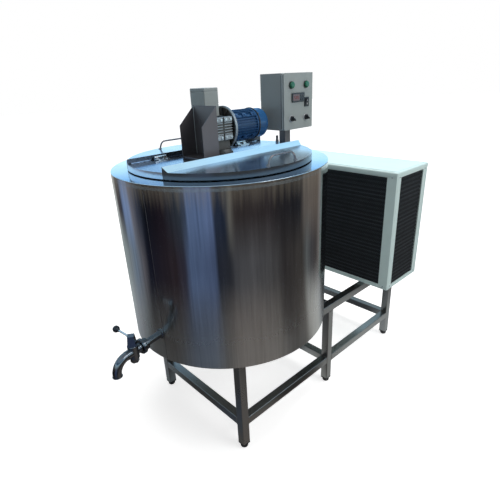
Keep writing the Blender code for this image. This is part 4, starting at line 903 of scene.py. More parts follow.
# ------------------------------------------------------------------- drive
def bracket():
    """The folded guard that carries the drive, with its welds and bolts."""
    low, high = corners("motor_bracket")
    guard = Piece("motor_guard", BRACKET, WELD, BRIGHT)
    guard.add(copied("motor_bracket", 0.0008))
    back = corners("gearbox_housing")[0].x
    for side in (-1, 1):
        y = side * (high.y - 0.0034)
        x = back - 0.0038
        guard.add(rod((x, y, low.z + 0.004), (x, y, high.z - 0.004), 0.0016, sides=8), 1)
        guard.add(rod((low.x + 0.002, side * (high.y + 0.0002), low.z + 0.0004),
                      (back - 0.001, side * (high.y + 0.0002), low.z + 0.0004), 0.0014, sides=8), 1)
        guard.add(bolt((back + 0.013, side * (high.y - 0.010), low.z + 0.003), Z, 0.0052, 0.004), 2)
    for y in (-0.034, 0.034):
        for z in (1.335, 1.420):
            guard.add(bolt((back - 0.0033, y, z), -X, 0.0065, 0.003))
    guard.done("motor_bracket", slot="stainless")


def gearbox():
    """Worm gearbox: ribbed and bolted sides, a round foot and a dished input flange, with painted shade on
    the sides between the ribs, the waist, the foot and inside the flange.
    """
    low = corners("gearbox_housing")[0]
    axis_y, axis_z = centre_of("motor_rotor").yz
    front, half, base = 0.034, 0.056, low.z + 0.019
    top = corners("junction_box")[0].z - GAP
    case = Piece("gearbox_casting", CAST, CAST_SHADE, BRIGHT)
    waist = base + 0.042
    # painted shade: the sides between the ribs take finish 1, the darker copy of the casting
    case.add(block((low.x + 0.001, -half + 0.006, waist), (front, half - 0.006, top), 0.004),
             lambda face: int(abs(face.normal.y) > 0.9))
    # the waist under the ribs, in painted shadow
    case.add(block((low.x + 0.006, -half + 0.020, base), (front - 0.002, half - 0.020, waist + 0.004), 0.004),
             1)
    # the round foot under the gearbox, in painted shade
    foot = moved(0, -0.020, low.z)
    case.add(turned([(0, 0), (0.045, 0), (0.045, 0.010), (0.040, 0.014), (0.036, base - low.z + 0.004),
                     (0, base - low.z + 0.004)], foot, 64), 1)
    for step in range(6):
        angle = math.tau * step / 6
        case.add(bolt((0.039 * math.cos(angle), -0.020 + 0.039 * math.sin(angle), low.z + 0.010), Z, 0.0036,
                      0.005), 2)
    columns = ((low.x + 0.004, -0.019), (-0.011, front - 0.002))
    for side in (-1, 1):
        outer, inner = side * half, side * (half - 0.008)
        for left, right in columns:
            for band in (waist + 0.001, top - 0.021):
                case.add(block((left, outer, band), (right, inner, band + 0.020), 0.002))
                for x in (left + 0.008, right - 0.008):
                    case.add(bolt((x, outer - side * 0.0005, band + 0.010), (0, side, 0), 0.0058, 0.0040), 2)
            for number in range(RIBS):
                z = waist + 0.0250 + (top - waist - 0.050) * number / (RIBS - 1)
                case.add(block((left, outer, z - 0.0019), (right, inner, z + 0.0019), 0.0006, 1))
    case.add(block((low.x + 0.001, -0.040, top - 0.003), (front - 0.002, -0.010, top), 0.001, 2))
    turn = lying(0, axis_y, axis_z)
    rim, start, end = 0.089, 0.040, 0.052
    dish = turned([(0, end), (rim - 0.0015, end)] + arc((rim - 0.0015, end - 0.0015), 0.0015, 90, 0, 3) + [
        (rim, start + 0.001), (rim - 0.001, start), (rim - 0.006, start), (rim - 0.008, start + 0.005),
        (0.042, start + 0.007), (0.036, front - 0.001), (0, front - 0.001)], turn, 128)
    middle = Vector((axis_y, axis_z))

    def dished(face):
        """1 inside the flange's rim, where painted shade goes, 0 on the rest."""
        at = face.calc_center_median()
        return int((at.yz - middle).length < rim - 0.0058 and at.x < start + 0.0075)

    case.add(dish, dished)
    # ribs inside the flange, in painted shade
    for swing in around(16, moved(0, axis_y, axis_z), "X"):
        case.add(block((start - 0.002, -0.0016, 0.038), (start + 0.007, 0.0016, rim - 0.0075), 0.0005, 1), 1,
                 swing)
    for number in range(8):
        swing = math.tau * (number + 0.5) / 8
        at = (start + 0.0065, axis_y + 0.0745 * math.cos(swing), axis_z + 0.0745 * math.sin(swing))
        case.add(bolt(at, -X, 0.0052, 0.0050), 2)
    case.done("gearbox_housing", slot="cast_aluminium")
    return axis_y, axis_z


def motor(axis_y, axis_z):
    """Totally enclosed motor: a ribbed frame with bosses, and an end flange with its bolts."""
    low = corners("motor_housing")[0]
    place, axis = lying(0, axis_y, axis_z), moved(0, axis_y, axis_z)
    core, fin, end = 0.0600, 0.0675, corners("fan_cowl")[0].x - GAP
    frame_piece = Piece("motor_frame", BLUE, BRIGHT)
    profile = [(0.010, low.x), (0.080 - 0.001, low.x), (0.080, low.x + 0.001), (0.080, low.x + 0.007),
               (0.077, low.x + 0.0092), (fin, low.x + 0.011), (fin, low.x + 0.019), (core, low.x + 0.022),
               (core, end - 0.010), (fin, end - 0.008), (fin, end), (0.050, end), (0.050, low.x + 0.012),
               (0.010, low.x + 0.012)]
    frame_piece.add(turned(profile, place, 128))
    fins = 36
    bosses = (45, 135, 225, 315)
    for number in range(fins):
        angle = 360 * (number + 0.5) / fins
        if min(abs((angle - boss + 180) % 360 - 180) for boss in bosses) < 9:
            continue
        swing = axis @ Matrix.Rotation(math.radians(angle), 4, "X")
        frame_piece.add(block((low.x + 0.016, -0.0012, core - 0.002), (end - 0.006, 0.0012, fin), 0.0007, 2),
                        0, swing)
    for boss in bosses:
        swing = axis @ Matrix.Rotation(math.radians(boss), 4, "X")
        for start, stop in ((low.x + 0.016, low.x + 0.042), (0.118, 0.140), (end - 0.030, end - 0.004)):
            frame_piece.add(block((start, -0.0085, core - 0.004), (stop, 0.0085, fin - 0.0003), 0.002, 2), 0,
                            swing)
            frame_piece.add(bolt(((start + stop) / 2, 0, fin - 0.0008), Z, 0.0046, 0.0030), 0, swing)
    for number in range(4):
        angle = math.tau * (number + 0.5) / 4
        at = (low.x + 0.0085, axis_y + 0.0725 * math.cos(angle), axis_z + 0.0725 * math.sin(angle))
        frame_piece.add(bolt(at, X, 0.0055, 0.0055), 1)
    frame_piece.done("motor_housing", slot="motor_blue")


def fan_cowl(axis_y, axis_z):
    """The pressed cowl over the motor's fan: a rubber seam, a round-slotted end and four screws."""
    place, axis = lying(0, axis_y, axis_z), moved(0, axis_y, axis_z)
    radius, rim, corner, wall = 0.0645, 0.0705, 0.010, 0.0016
    start, stop = (corner_at.x for corner_at in corners("fan_cowl"))
    cowl = Piece("motor_cowl", COWL, PLASTIC, BRIGHT)
    bend = (radius - corner, stop - corner)
    profile = [(radius - 0.012, stop)] + arc(bend, corner, 90, 0, 8) + [
        (radius, start + 0.008), (radius + 0.001, start + 0.006), (radius + 0.001, start),
        (radius - wall, start), (radius - wall, stop - corner)]
    profile += arc(bend, corner - wall, 0, 90, 6) + [(radius - 0.012, stop - wall)]
    cowl.add(turned(profile, place, 128))
    cowl.add(turned([(rim, start + 0.0055), (rim, start), (radius, start), (radius, start + 0.0055)], place,
                    128), 1)
    for ring in (0.0515, 0.0435, 0.0355, 0.0275):
        cowl.add(turned([(ring, stop), (ring, stop - wall), (ring - 0.0026, stop - wall),
                         (ring - 0.0026, stop)], place, 64))
    cowl.add(rod((stop - wall, axis_y, axis_z), (stop, axis_y, axis_z), 0.0200, sides=48))
    for swing in around(8, axis, "X"):
        cowl.add(block((stop - wall, -0.0022, 0.0185), (stop - 0.0001, 0.0022, radius - 0.0110)), 0, swing)
    for swing in around(4, axis, "X", 0.5):
        cowl.add(bolt((start + 0.014, 0, radius - 0.0006), Z, 0.0038, 0.0024), 2, swing)
    cowl.done("fan_cowl", slot="motor_blue")


def junction_box():
    """The terminal box on the gearbox: a base, a seal and a screwed lid."""
    low, high = corners("junction_box")
    box = Piece("terminal_box", GREY, RUBBER, BRIGHT)
    seam = high.z - 0.014
    box.add(block(low, (high.x, high.y, seam - 0.0006), 0.003))
    box.add(block((low.x + 0.0008, low.y + 0.0008, seam - 0.0016),
                  (high.x - 0.0008, high.y - 0.0008, seam + 0.0016)))
    box.add(block((low.x, low.y, seam + 0.0006), high, 0.003))
    for x in (low.x + 0.007, high.x - 0.007):
        for y in (low.y + 0.007, high.y - 0.007):
            box.add(turned([(0, 0.0008), (0.0028, 0.0006), (0.0034, -0.001), (0, -0.001)],
                           moved(x, y, high.z - 0.0004), 24), 2)
    box.done("junction_box", slot="enclosure_grey")


# -------------------------------------------------------------- control box
def control_post():
    """The post with its bolted foot plate."""
    low, high = corners("control_post")
    post = Piece("post_tube", BRACKET, WELD, BRIGHT)
    side = TUBE_SIDE / 2
    plate_top = low.z + 0.004
    post.add(block((POST_X - side, -side, plate_top), (POST_X + side, side, high.z), TUBE_CORNER))
    post.add(block(low, (high.x, high.y, plate_top), 0.0012, 2))
    bead(post, (POST_X, 0, plate_top), X, Y, side)
    for x in (low.x + 0.008, high.x - 0.009):
        for y in (low.y + 0.007, high.y - 0.007):
            post.add(bolt((x, y, plate_top - 0.0004), Z, 0.0048, 0.004), 2)
    post.done("control_post", slot="stainless")


def control_box():
    """The folded box, with a painted highlight: a paler lip of the same paint down each side of its mouth."""
    low, high = corners("control_box")
    case = Piece("control_case", GREY, LIP_HIGHLIGHT)
    case.add(copied("control_box", 0.0022, 3))
    # paler strips on the mouth's edges: painted highlight
    for start, end in ((BOX_LEFT - 0.0014, BOX_LEFT + 0.0018), (BOX_RIGHT - 0.0018, BOX_RIGHT + 0.0014)):
        case.add(block((start, low.y - 0.0004, low.z + 0.003), (end, low.y + 0.0060, high.z - 0.003),
                       0.0006, 1), 1)
    case.done("control_box", slot="enclosure_grey")


def control_gear():
    """The mounting plate in the box, with its rails, breakers, relay and terminals."""
    low, high = corners("control_box")
    inside_y = high.y - 0.003
    gear = Piece("control_gear", TUBE, PALE, PLASTIC, BRIGHT)
    left, right = low.x + 0.018, BOX_RIGHT - 0.018
    gear.add(block((left, inside_y - 0.004, low.z + 0.016), (right, inside_y - 0.002, high.z - 0.016), 0.0008,
                   2))
    for z in (low.z + 0.075, low.z + 0.165):
        gear.add(block((left + 0.006, inside_y - 0.012, z - 0.0175),
                       (right - 0.006, inside_y - 0.004, z + 0.0175), 0.001, 2), 3)
    for number in range(3):
        x = left + 0.016 + number * 0.0185
        gear.add(block((x, inside_y - 0.070, low.z + 0.125), (x + 0.0176, inside_y - 0.011, low.z + 0.205),
                       0.0015, 2), 1)
        gear.add(block((x + 0.005, inside_y - 0.078, low.z + 0.158),
                       (x + 0.0126, inside_y - 0.069, low.z + 0.170), 0.001, 2), 2)
    gear.add(block((left + 0.085, inside_y - 0.075, low.z + 0.125),
                   (left + 0.130, inside_y - 0.011, low.z + 0.205), 0.002, 2), 2)
    for number in range(12):
        x = left + 0.014 + number * 0.0105
        gear.add(block((x, inside_y - 0.045, low.z + 0.052), (x + 0.0098, inside_y - 0.011, low.z + 0.098),
                       0.0008, 1), 1)
        gear.add(turned([(0, 0.0006), (0.0030, 0.0003), (0.0032, -0.001), (0, -0.001)],
                        towards((x + 0.0049, inside_y - 0.045, low.z + 0.060), -Y), 16), 3)
    gear.done(slot="enclosure_grey")


def door():
    """The box's door, with its rounded rim and its seal."""
    low, high = corners("control_door")
    leaf = Piece("control_leaf", GREY, RUBBER, body="control_door")
    form = copied("control_door")
    outer = [edge for edge in form.edges if all(
        min(abs(vert.co.x - low.x), abs(vert.co.x - high.x)) < 0.001 and
        min(abs(vert.co.z - low.z), abs(vert.co.z - high.z)) < 0.001 for vert in edge.verts) and
        abs(edge.verts[0].co.y - edge.verts[1].co.y) > 0.004]
    bevel(form, outer, 0.0070, 5)
    bevel(form, sharp_edges(form), 0.0022, 3, True)
    leaf.add(form)
    for x in (low.x, high.x):
        leaf.add(block((x - 0.0004, high.y - 0.0030, low.z + 0.008),
                       (x + 0.0004, high.y - 0.0002, high.z - 0.008)), 1)
    seal_z = (low.z + 0.004, high.z - 0.004)
    back, front = high.y - GAP, high.y - 0.0150
    for x in (BOX_LEFT + 0.0055, BOX_RIGHT - 0.0055):
        leaf.add(block((x - 0.003, front, seal_z[0]), (x + 0.003, back, seal_z[1]), 0.001, 2), 1)
    for z in seal_z:
        leaf.add(block((BOX_LEFT + 0.004, front, z - 0.001), (BOX_RIGHT - 0.004, back, z + 0.001)), 1)
    leaf.done("control_door", slot="enclosure_grey")


def signal_lamp(word, face):
    """A ribbed green lens in a black bezel."""
    low, high = corners(f"{word}_lamp")
    x, z, radius = (low.x + high.x) / 2, (low.z + high.z) / 2, (high.x - low.x) / 2
    place = towards((x, face - GAP, z), -Y)
    signal = Piece(f"{word}_signal_lamp", LENS, PLASTIC, body="control_door")
    signal.add(turned([(0, 0.0130)] + arc((0.0092, 0.0080), 0.0045, 80, 0, 6) +
                      [(0.0137, 0.0035), (0, 0.0035)], place, 64))
    for swing in around(20, place):
        signal.add(rod((0.0136, 0, 0.0036), (0.0136, 0, 0.0082), 0.0007, sides=8), 0, swing)
    signal.add(turned([(0, 0.0038), (radius - 0.0012, 0.0038)] +
                      arc((radius - 0.0012, 0.0026), 0.0012, 90, 0, 4) +
                      [(radius, 0), (0.0100, 0), (0.0100, -0.0060), (0, -0.0060)], place, 64), 1)
    signal.done(f"{word}_lamp", slot="green_lens")


def selector(word, face):
    """A knob with a tapered grip and a white mark, on a pale collar."""
    low, high = corners(f"{word}_selector")
    x, z, radius = (low.x + high.x) / 2, (low.z + high.z) / 2, (high.x - low.x) / 2
    place = towards((x, face - GAP, z), -Y)
    knob = Piece(f"{word}_selector_knob", PLASTIC, PALE, body=f"{word}_selector")
    knob.add(turned([(0, 0.0030), (radius - 0.0008, 0.0030), (radius, 0.0020), (radius, 0), (0.0100, 0),
                     (0.0100, -0.0060), (0, -0.0060)], place, 64), 1)
    knob.add(turned([(0, 0.0105), (radius - 0.0035, 0.0105)] +
                    arc((radius - 0.0035, 0.0090), 0.0015, 90, 0, 4) +
                    [(radius - 0.0012, 0.0030), (0, 0.0030)], place, 64))
    place = place @ Matrix.Rotation(SELECTOR_REST, 4, "Z")
    grip = block((-0.0042, -0.0118, 0.0085), (0.0042, 0.0118, 0.0236), 0.0022, 3)
    for vert in grip.verts:
        lean = (vert.co.z - 0.0085) / 0.015
        vert.co.x *= 1 - 0.35 * lean
        vert.co.y *= 1 - 0.12 * lean
    knob.add(grip, 0, place)
    knob.add(block((-0.0006, 0.0035, 0.0234), (0.0006, 0.0098, 0.0240)), 1, place)
    knob.done(f"{word}_selector", slot="black_plastic")


def digit(piece, x, y, z, lit, finish):
    """One seven-bar figure; lit names its bars: a top, b c right, d foot, e f left, g middle."""
    wide, tall, thick = 0.0062, 0.0058, 0.0013
    bars = {"a": (0, tall, 1), "g": (0, 0, 1), "d": (0, -tall, 1), "b": (wide / 2, tall / 2, 0),
            "c": (wide / 2, -tall / 2, 0), "f": (-wide / 2, tall / 2, 0), "e": (-wide / 2, -tall / 2, 0)}
    for name in lit:
        across, up, level = bars[name]
        half_x, half_z = (wide / 2 - 0.0008, thick / 2) if level else (thick / 2, tall / 2 - 0.0006)
        piece.add(block((x + across - half_x, y - 0.0004, z + up - half_z),
                        (x + across + half_x, y + 0.0004, z + up + half_z)), finish)


def controller(face):
    """A panel controller with a dark red display and four keys."""
    low, high = corners("controller")
    unit = Piece("temperature_controller", PLASTIC, WINDOW, FIGURE, KEYS, body="control_door")
    unit.add(block((low.x, face - GAP - 0.006, low.z), (high.x, face - GAP, high.z), 0.0016))
    front = face - 0.0063
    split = low.x + 0.050
    unit.add(block((low.x + 0.005, front - 0.0004, low.z + 0.006), (split, front + 0.001, high.z - 0.006),
                   0.0003, 1), 1)
    middle = (low.z + high.z) / 2
    for number, lit in enumerate(("acdfg", "abcdefg", "abcdef")):
        digit(unit, low.x + 0.0145 + number * 0.0125, front - 0.0006, middle, lit, 2)
    for x in (split + 0.009, split + 0.023):
        for z in (middle - 0.0085, middle + 0.0085):
            unit.add(turned([(0, 0.0016), (0.0036, 0.0013), (0.0044, 0.0004), (0.0045, -0.001), (0, -0.001)],
                            towards((x, front, z), -Y), 28), 3 if z > middle else 0)
    unit.add(block((low.x + 0.004, face, low.z + 0.004), (high.x - 0.004, high.y, high.z - 0.004), 0.001, 1))
    unit.done("controller", slot="black_plastic")


def rocker(face):
    """The power switch: a bezel and a tilting key with its two marks."""
    bezel = Piece("rocker_frame", PLASTIC, body="control_door")
    bezel.add(copied("rocker_bezel", 0.0006))
    bezel.done("rocker_bezel", slot="black_plastic")
    middle = centre_of("rocker_bezel")
    switch = Piece("rocker_key", PLASTIC, PALE, body="power_rocker")
    switch.add(copied("power_rocker", 0.0007))
    tilt = moved(middle.x, face - GAP, middle.z) @ Matrix.Rotation(math.radians(8), 4, "X")
    switch.add(block((-0.0012, -0.0073, 0.0040), (0.0012, -0.0068, 0.0110), 0.0001, 1), 1, tilt)
    ring = tilt @ moved(0, -0.0070, -0.0075) @ Matrix.Rotation(math.pi / 2, 4, "X")
    switch.add(turned([(0.0036, 0.0004), (0.0036, -0.0004), (0.0022, -0.0004), (0.0022, 0.0004)], ring, 32),
               1)
    switch.done("power_rocker", slot="black_plastic")


# --------------------------------------------------------------------- tap
TAP_Z = centre_of("outlet_pipe").z
ALONG_TAP = TAP_TURN @ lying(0, 0, TAP_Z)
COLLAR = (SHELL_HIGH.x - SHELL_LOW.x) / 2 + GAP     # the pipe's wall collar, from the tank's axis
SEAT = (SHELL_HIGH.x - SHELL_LOW.x) / 2 + 0.0923    # the union nut's seat
PLUG = SEAT + 0.0487        # the plug's axis
SPOUT = SEAT + 0.0837       # where the spout starts
PLUG_UP = TAP_TURN @ moved(PLUG, 0, 0)


def outlet():
    """The outlet pipe with its sleeve and wall collar."""
    pipe = Piece("outlet_tube", TAP)
    pipe.add(turned([(0.0127, SEAT - GAP), (0.0127, SEAT - 0.0155), (0.0150, SEAT - 0.0165),
                     (0.0150, COLLAR + 0.006), (0.0175, COLLAR + 0.0042), (0.0205, COLLAR + 0.0035)] +
                    arc((0.0205, COLLAR + 0.0018), 0.0017, 90, 0, 3) +
                    [(0.0220, COLLAR), (0.0127, COLLAR), (0.0127, 0.388), (0.0105, 0.388),
                     (0.0105, SEAT - GAP)], ALONG_TAP, 64))
    pipe.done("outlet_pipe", slot="stainless")


def union_nut():
    """The round union nut with six spanner lugs."""
    nut = Piece("union_ring", TAP)
    nut.add(turned([(0.0295, SEAT + 0.016), (0.0318, SEAT + 0.0135), (0.0318, SEAT + 0.0030),
                    (0.0300, SEAT + 0.0006), (0.0255, SEAT), (0.0250, SEAT - 0.0040), (0.0235, SEAT - 0.0045),
                    (0.0235, SEAT - 0.0100), (0.0250, SEAT - 0.0105), (0.0250, SEAT - 0.0145),
                    (0.0133, SEAT - 0.015), (0.0133, SEAT), (0.0105, SEAT), (0.0105, SEAT + 0.016)],
                   ALONG_TAP, 96))
    for swing in around(6, ALONG_TAP):
        nut.add(block((0.0305, -0.0045, SEAT + 0.0035), (0.0326, 0.0045, SEAT + 0.0130), 0.0012, 2), 0, swing)
    nut.done("union_nut", slot="stainless")


def valve():
    """The plug valve with its hex cap and its bent spout."""
    start, end = SEAT + 0.0166, SPOUT
    body = Piece("plug_valve", TAP)
    body.add(turned([(0, end), (0.0185, end), (0.0185, start + 0.012), (0.0205, start + 0.010),
                     (0.0205, start + 0.001), (0.0195, start), (0, start)], ALONG_TAP, 64))
    body.add(turned([(0, TAP_Z + 0.030), (0.0195, TAP_Z + 0.030), (0.0210, TAP_Z + 0.0285),
                     (0.0210, TAP_Z - 0.0265), (0.0195, TAP_Z - 0.028), (0, TAP_Z - 0.028)], PLUG_UP, 64))
    body.add(rod((0, 0, TAP_Z - 0.046), (0, 0, TAP_Z - 0.026), 0.0175, sides=6, rounding=0.0015), 0,
             PLUG_UP)
    body.add(turned([(0, TAP_Z - 0.0490), (0.0070, TAP_Z - 0.0480), (0.0080, TAP_Z - 0.0460),
                     (0, TAP_Z - 0.0458)], PLUG_UP, 32))
    spout = bent((end - 0.002, 0, TAP_Z), X, 0.0175, [0.002, (90, 0.052, Y), 0.008], 40)
    mouth = min(spout.faces, key=lambda face: face.calc_center_median().z)
    bmesh.ops.inset_region(spout, faces=[mouth], thickness=0.0022)
    pushed = bmesh.ops.extrude_face_region(spout, geom=[mouth])["geom"]
    bmesh.ops.translate(spout, vec=(0, 0, 0.012), verts=verts_in(pushed))
    bmesh.ops.delete(spout, geom=[mouth], context="FACES_ONLY")
    body.add(spout, 0, TAP_TURN)
    body.add(turned([(0.0192, 0.0010), (0.0198, 0.0022), (0.0192, 0.0034), (0.0170, 0.0034),
                     (0.0170, 0.0010)], TAP_TURN @ moved(end + 0.052, 0, TAP_Z - 0.061), 64))
    body.done("valve_body", slot="stainless")


def lever():
    """The valve's square key with its lever and ball."""
    high = corners("valve_handle")[1]
    lever_z = high.z - 0.010
    key = Piece("valve_lever", TAP, BRIGHT, body="drain_valve")
    head = rod((0, 0, TAP_Z + 0.0306), (0, 0, high.z), 0.0238, 0.0172, sides=4, rounding=0.0022)
    key.add(head, 0, PLUG_UP)
    key.add(turned([(0, high.z + 0.0001), (0.0050, high.z), (0.0060, high.z - 0.002), (0, high.z - 0.002)],
                   PLUG_UP, 32))
    tip = Vector((0, -0.087, lever_z + 0.008))
    key.add(rod((0, 0, lever_z), tip, 0.0040, sides=24), 1, PLUG_UP)
    key.add(rod((0, -0.0150, lever_z + 0.0014), (0, -0.0230, lever_z + 0.0021), 0.0062, 0.0050, sides=24,
                rounding=0.0006), 1, PLUG_UP)
    key.add(rod((0, 0, TAP_Z - 0.020), (0, 0, TAP_Z + 0.031), 0.0134, sides=32), 0, PLUG_UP)
    key.done("valve_handle", slot="stainless")
    ball = bmesh.new()
    bmesh.ops.create_uvsphere(ball, u_segments=40, v_segments=24, radius=0.0140,
                              matrix=Matrix.Translation(tip))
    knob = Piece("lever_ball", KNOB, body="drain_valve")
    knob.add(ball, 0, PLUG_UP)
    knob.add(rod(tip + Vector((0, 0.0165, -0.0015)), tip + Vector((0, 0.0100, -0.0009)), 0.0062, 0.0075,
                 sides=24), 0, PLUG_UP)
    knob.done("lever_knob", slot="black_plastic")


# --------------------------------------------------------- condensing unit
def screw(piece, at, direction, radius=0.0034, finish=0):
    """A pan-head screw with a cross recess."""
    place = towards(at, direction)
    piece.add(turned([(0, 0.0018), (radius * 0.6, 0.0016), (radius, 0.0004), (radius, -0.0006), (0, -0.0006)],
                     place, 20), finish)
    for turn in (0, math.pi / 2):
        piece.add(block((-radius * 0.5, -0.0003, 0.0010), (radius * 0.5, 0.0003, 0.0019)), finish,
                  place @ Matrix.Rotation(turn, 4, "Z"))


def grille(word, across, outward, post):
    """A painted frame round a black screen of crossed wires with level slats behind it."""
    low, high = corners(f"{word}_grille")
    along, deep = ((Y, X) if across == 1 else (X, Y))
    first, last = low[across], high[across]
    face = (high if outward > 0 else low)[1 - across]
    thick = high[1 - across] - low[1 - across]
    border = 0.010

    def bar(piece, start, end, bottom, top, near, far, finish=0, rounding=0.0):
        """A bar between two places along the panel, at depths measured in from its face."""
        piece.add(block(along * start + Z * bottom + deep * (face - outward * near),
                        along * end + Z * top + deep * (face - outward * far), rounding, 2), finish)

    panel = Piece(f"{word}_panel", WHITE, MESH, BRIGHT, WIRES)
    inner_low, inner_high = first + post, last - post
    for start, end in ((first, inner_low), (inner_high, last)):
        bar(panel, start, end, low.z, high.z, 0, thick, 0, 0.0015)
    for bottom, top in ((low.z, low.z + border), (high.z - border, high.z)):
        bar(panel, inner_low - 0.001, inner_high + 0.001, bottom, top, 0.0002, thick, 0, 0.001)
    slats = 30
    bottom, top = low.z + border, high.z - border
    for number in range(slats):
        z = bottom + (top - bottom) * (number + 0.5) / slats
        slat = block((inner_low, -0.0112, -0.0004), (inner_high, 0.0112, 0.0004))
        turn = Matrix.Rotation(math.radians(-68), 4, "X")
        middle = deep * (face - outward * 0.0105) + Z * z
        basis = Matrix((along, deep * outward, Z)).transposed().to_4x4()
        panel.add(slat, 1, Matrix.Translation(middle) @ basis @ turn)
        bar(panel, inner_low, inner_high, z - 0.0105, z - 0.0080, 0.0052, 0.0070, 3)
    pitch, half, depth = 0.0075, 0.0009, 0.0045
    width, tall = inner_high - inner_low, top - bottom
    for lean in (1, -1):
        for number in range(1, int((width + tall) / (pitch * math.sqrt(2)))):
            offset = number * pitch * math.sqrt(2) - tall
            start = max(0.0, offset)
            end = min(width, offset + tall)
            if end - start < pitch:
                continue
            foot = bottom if lean > 0 else top
            levels = (foot + lean * (start - offset), foot + lean * (end - offset))
            ends = [along * (inner_low + at) + Z * level + deep * (face - outward * (depth + half * lean))
                    for at, level in zip((start, end), levels)]
            panel.add(rod(*ends, half, sides=4), 3)
    for at in (first + post * 0.5, last - post * 0.5):
        for z in (low.z + 0.006, high.z - 0.008):
            screw(panel, along * at + Z * z + deep * face, deep * outward, finish=2)
    panel.done(f"{word}_grille", slot="grille_black")


def cabinet():
    """The painted tray, the cap with its round edge, and four grilles."""
    base = Piece("cabinet_tray", WHITE)
    base.add(copied("cabinet_base", 0.0015))
    base.done("cabinet_base", slot="cabinet_white")
    low, high = corners("cabinet_top")
    cap = Piece("cabinet_cap", WHITE)
    lip = block(low, (high.x, high.y, high.z - 0.002))
    rims = [edge for edge in lip.edges if max(vert.co.z for vert in edge.verts) > low.z + 0.005]
    bevel(lip, rims, 0.0075, 5)
    cap.add(lip)
    cap.add(block((low.x + 0.014, low.y + 0.014, high.z - 0.004), (high.x - 0.014, high.y - 0.014, high.z),
                  0.0012, 2))
    cap.done("cabinet_top", slot="cabinet_white")
    for word, across, outward, post in (("left", 1, -1, 0.052), ("right", 1, 1, 0.052),
                                        ("near", 0, -1, 0.031), ("far", 0, 1, 0.031)):
        grille(word, across, outward, post)


def compressor():
    """A welded compressor on three feet."""
    low, high = corners("compressor")
    middle, radius, tall = (low + high) / 2, (high.x - low.x) / 2, high.z - low.z
    place = moved(middle.x, middle.y, low.z)
    pot = Piece("compressor_shell", SHROUD, COPPER)
    pot.add(turned([(0, tall)] + arc((0, tall - 0.060), radius * 0.98, 90, 12, 10)[1:] +
                   [(radius, tall * 0.52), (radius, tall * 0.50), (radius * 0.965, tall * 0.485),
                    (radius * 0.965, 0.050)] + arc((radius * 0.60, 0.050), radius * 0.36, 0, -80, 8) +
                   [(0, 0.014)], place @ Matrix.Diagonal((1, 1, 0.995, 1)), 96))
    for swing in around(3, place):
        pot.add(block((0.030, -0.014, 0.0002), (radius, 0.014, 0.006), 0.0015, 2), 0, swing)
        pot.add(rod((radius * 0.62, 0, 0.004), (radius * 0.62, 0, 0.034), 0.011, sides=24), 0, swing)
    pot.done("compressor", slot="compressor_black")


def coil():
    """The condenser: a block of fins between two end plates, with the ends of its tubes."""
    low, high = corners("condenser_coil")
    core = Piece("condenser_fins", FINS, COPPER)
    core.add(block((low.x + 0.002, low.y + 0.012, low.z), (high.x - 0.002, high.y - 0.012, high.z)))
    for y in (low.y + 0.0080, high.y - 0.0095):
        core.add(block((low.x, y, low.z), (high.x, y + 0.0015, high.z), 0.0005, 1))
    rows = 14
    for number in range(rows):
        z = low.z + (high.z - low.z) * (number + 0.5) / rows
        for y in (low.y + 0.006, high.y - 0.006):
            core.add(rod((low.x + 0.007, y, z), (high.x - 0.007, y, z), 0.0045, sides=12, rounding=0.001), 1)
    core.done("condenser_coil", slot="fin_aluminium")


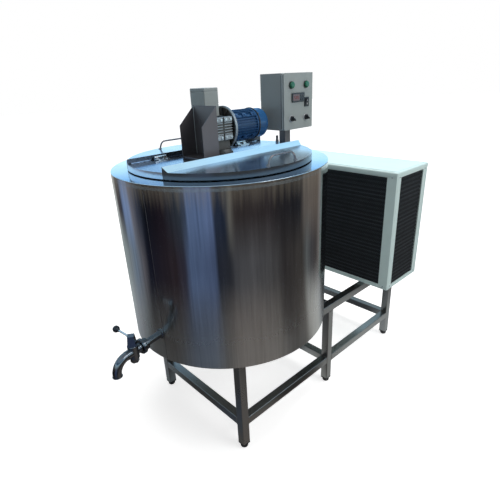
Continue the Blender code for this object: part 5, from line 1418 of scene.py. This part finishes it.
def fan():
    """A five-bladed fan on its hub and shaft."""
    low, high = corners("condenser_fan")
    motor_high = corners("fan_motor")[1]
    y, z = (low.y + high.y) / 2, FAN_Z
    hub_x, radius = high.x - 0.030, 0.160
    wheel = Piece("cooling_fan", PLASTIC, BRIGHT, body="condenser_fan")
    turn = lying(hub_x, y, z)
    wheel.add(turned([(0, 0.030), (0.028, 0.030)] + arc((0.029, 0.024), 0.006, 90, 0, 4) +
                     [(0.035, 0), (0, 0)], turn, 64))
    wheel.add(rod((motor_high.x - 0.028, y, z), (hub_x + 0.002, y, z), 0.005, sides=20), 1)
    for swing in around(5, turn):
        blade = bmesh.new()
        bmesh.ops.create_grid(blade, x_segments=8, y_segments=8, size=0.5)
        for vert in blade.verts:
            out, chord = vert.co.y + 0.5, vert.co.x
            reach = 0.033 + out * (radius - 0.035)
            angle = chord * (0.95 - 0.25 * out) + 0.22 * out
            pitch = math.radians(34 - 14 * out)
            vert.co = Vector((reach * math.sin(angle), reach * math.cos(angle),
                              0.015 + math.tan(pitch) * chord * 0.026 / 0.5))
        bmesh.ops.solidify(blade, geom=blade.faces[:], thickness=0.0022)
        bmesh.ops.recalc_face_normals(blade, faces=blade.faces[:])
        wheel.add(blade, 0, swing)
    wheel.done("condenser_fan", slot="black_plastic")


def fan_motor():
    """The fan's motor on its bracket."""
    low, high = corners("fan_motor")
    y, z = centre_of("condenser_fan").y, FAN_Z
    body = Piece("fan_drive", SHROUD, BRIGHT)
    turn = lying(0, y, z)
    body.add(turned([(0, low.x), (0.034, low.x), (0.043, low.x + 0.006), (0.045, low.x + 0.012),
                     (0.045, high.x - 0.014), (0.040, high.x - 0.004), (0.012, high.x), (0, high.x)], turn,
                    64))
    body.add(block((low.x + 0.020, y - 0.012, low.z), (high.x - 0.020, y + 0.012, z - 0.036), 0.002, 2), 1)
    body.add(block((low.x + 0.008, y - 0.030, low.z), (high.x - 0.008, y + 0.030, low.z + 0.004), 0.001, 2),
             1)
    body.done("fan_motor", slot="compressor_black")


# -------------------------------------------------- nodes that keep their shape
KEPT = {"insulation": FOAM, "evaporator_coil": COPPER, "suction_line": COPPER, "motor_rotor": TUBE,
        "agitator": INNER}

side_frames()
cross_tubes()
feet()
shell()
vessel()
bridge()
for word in ("near", "far"):
    lid(word)
    bow_handle(word)
    for hand in ("left", "right"):
        lid_hinge(word, hand)
bracket()
MOTOR_AXIS = gearbox()
motor(*MOTOR_AXIS)
fan_cowl(*MOTOR_AXIS)
junction_box()
control_post()
control_box()
control_gear()
door()
DOOR_FACE = corners("control_door")[0].y
for word in ("left", "right"):
    signal_lamp(word, DOOR_FACE)
    selector(word, DOOR_FACE)
controller(DOOR_FACE)
rocker(DOOR_FACE)
outlet()
union_nut()
valve()
lever()
cabinet()
compressor()
coil()
fan()
fan_motor()
for name, finish in KEPT.items():
    mesh = frame["nodes"][name].data
    mesh.materials.clear()
    mesh.materials.append(finish)
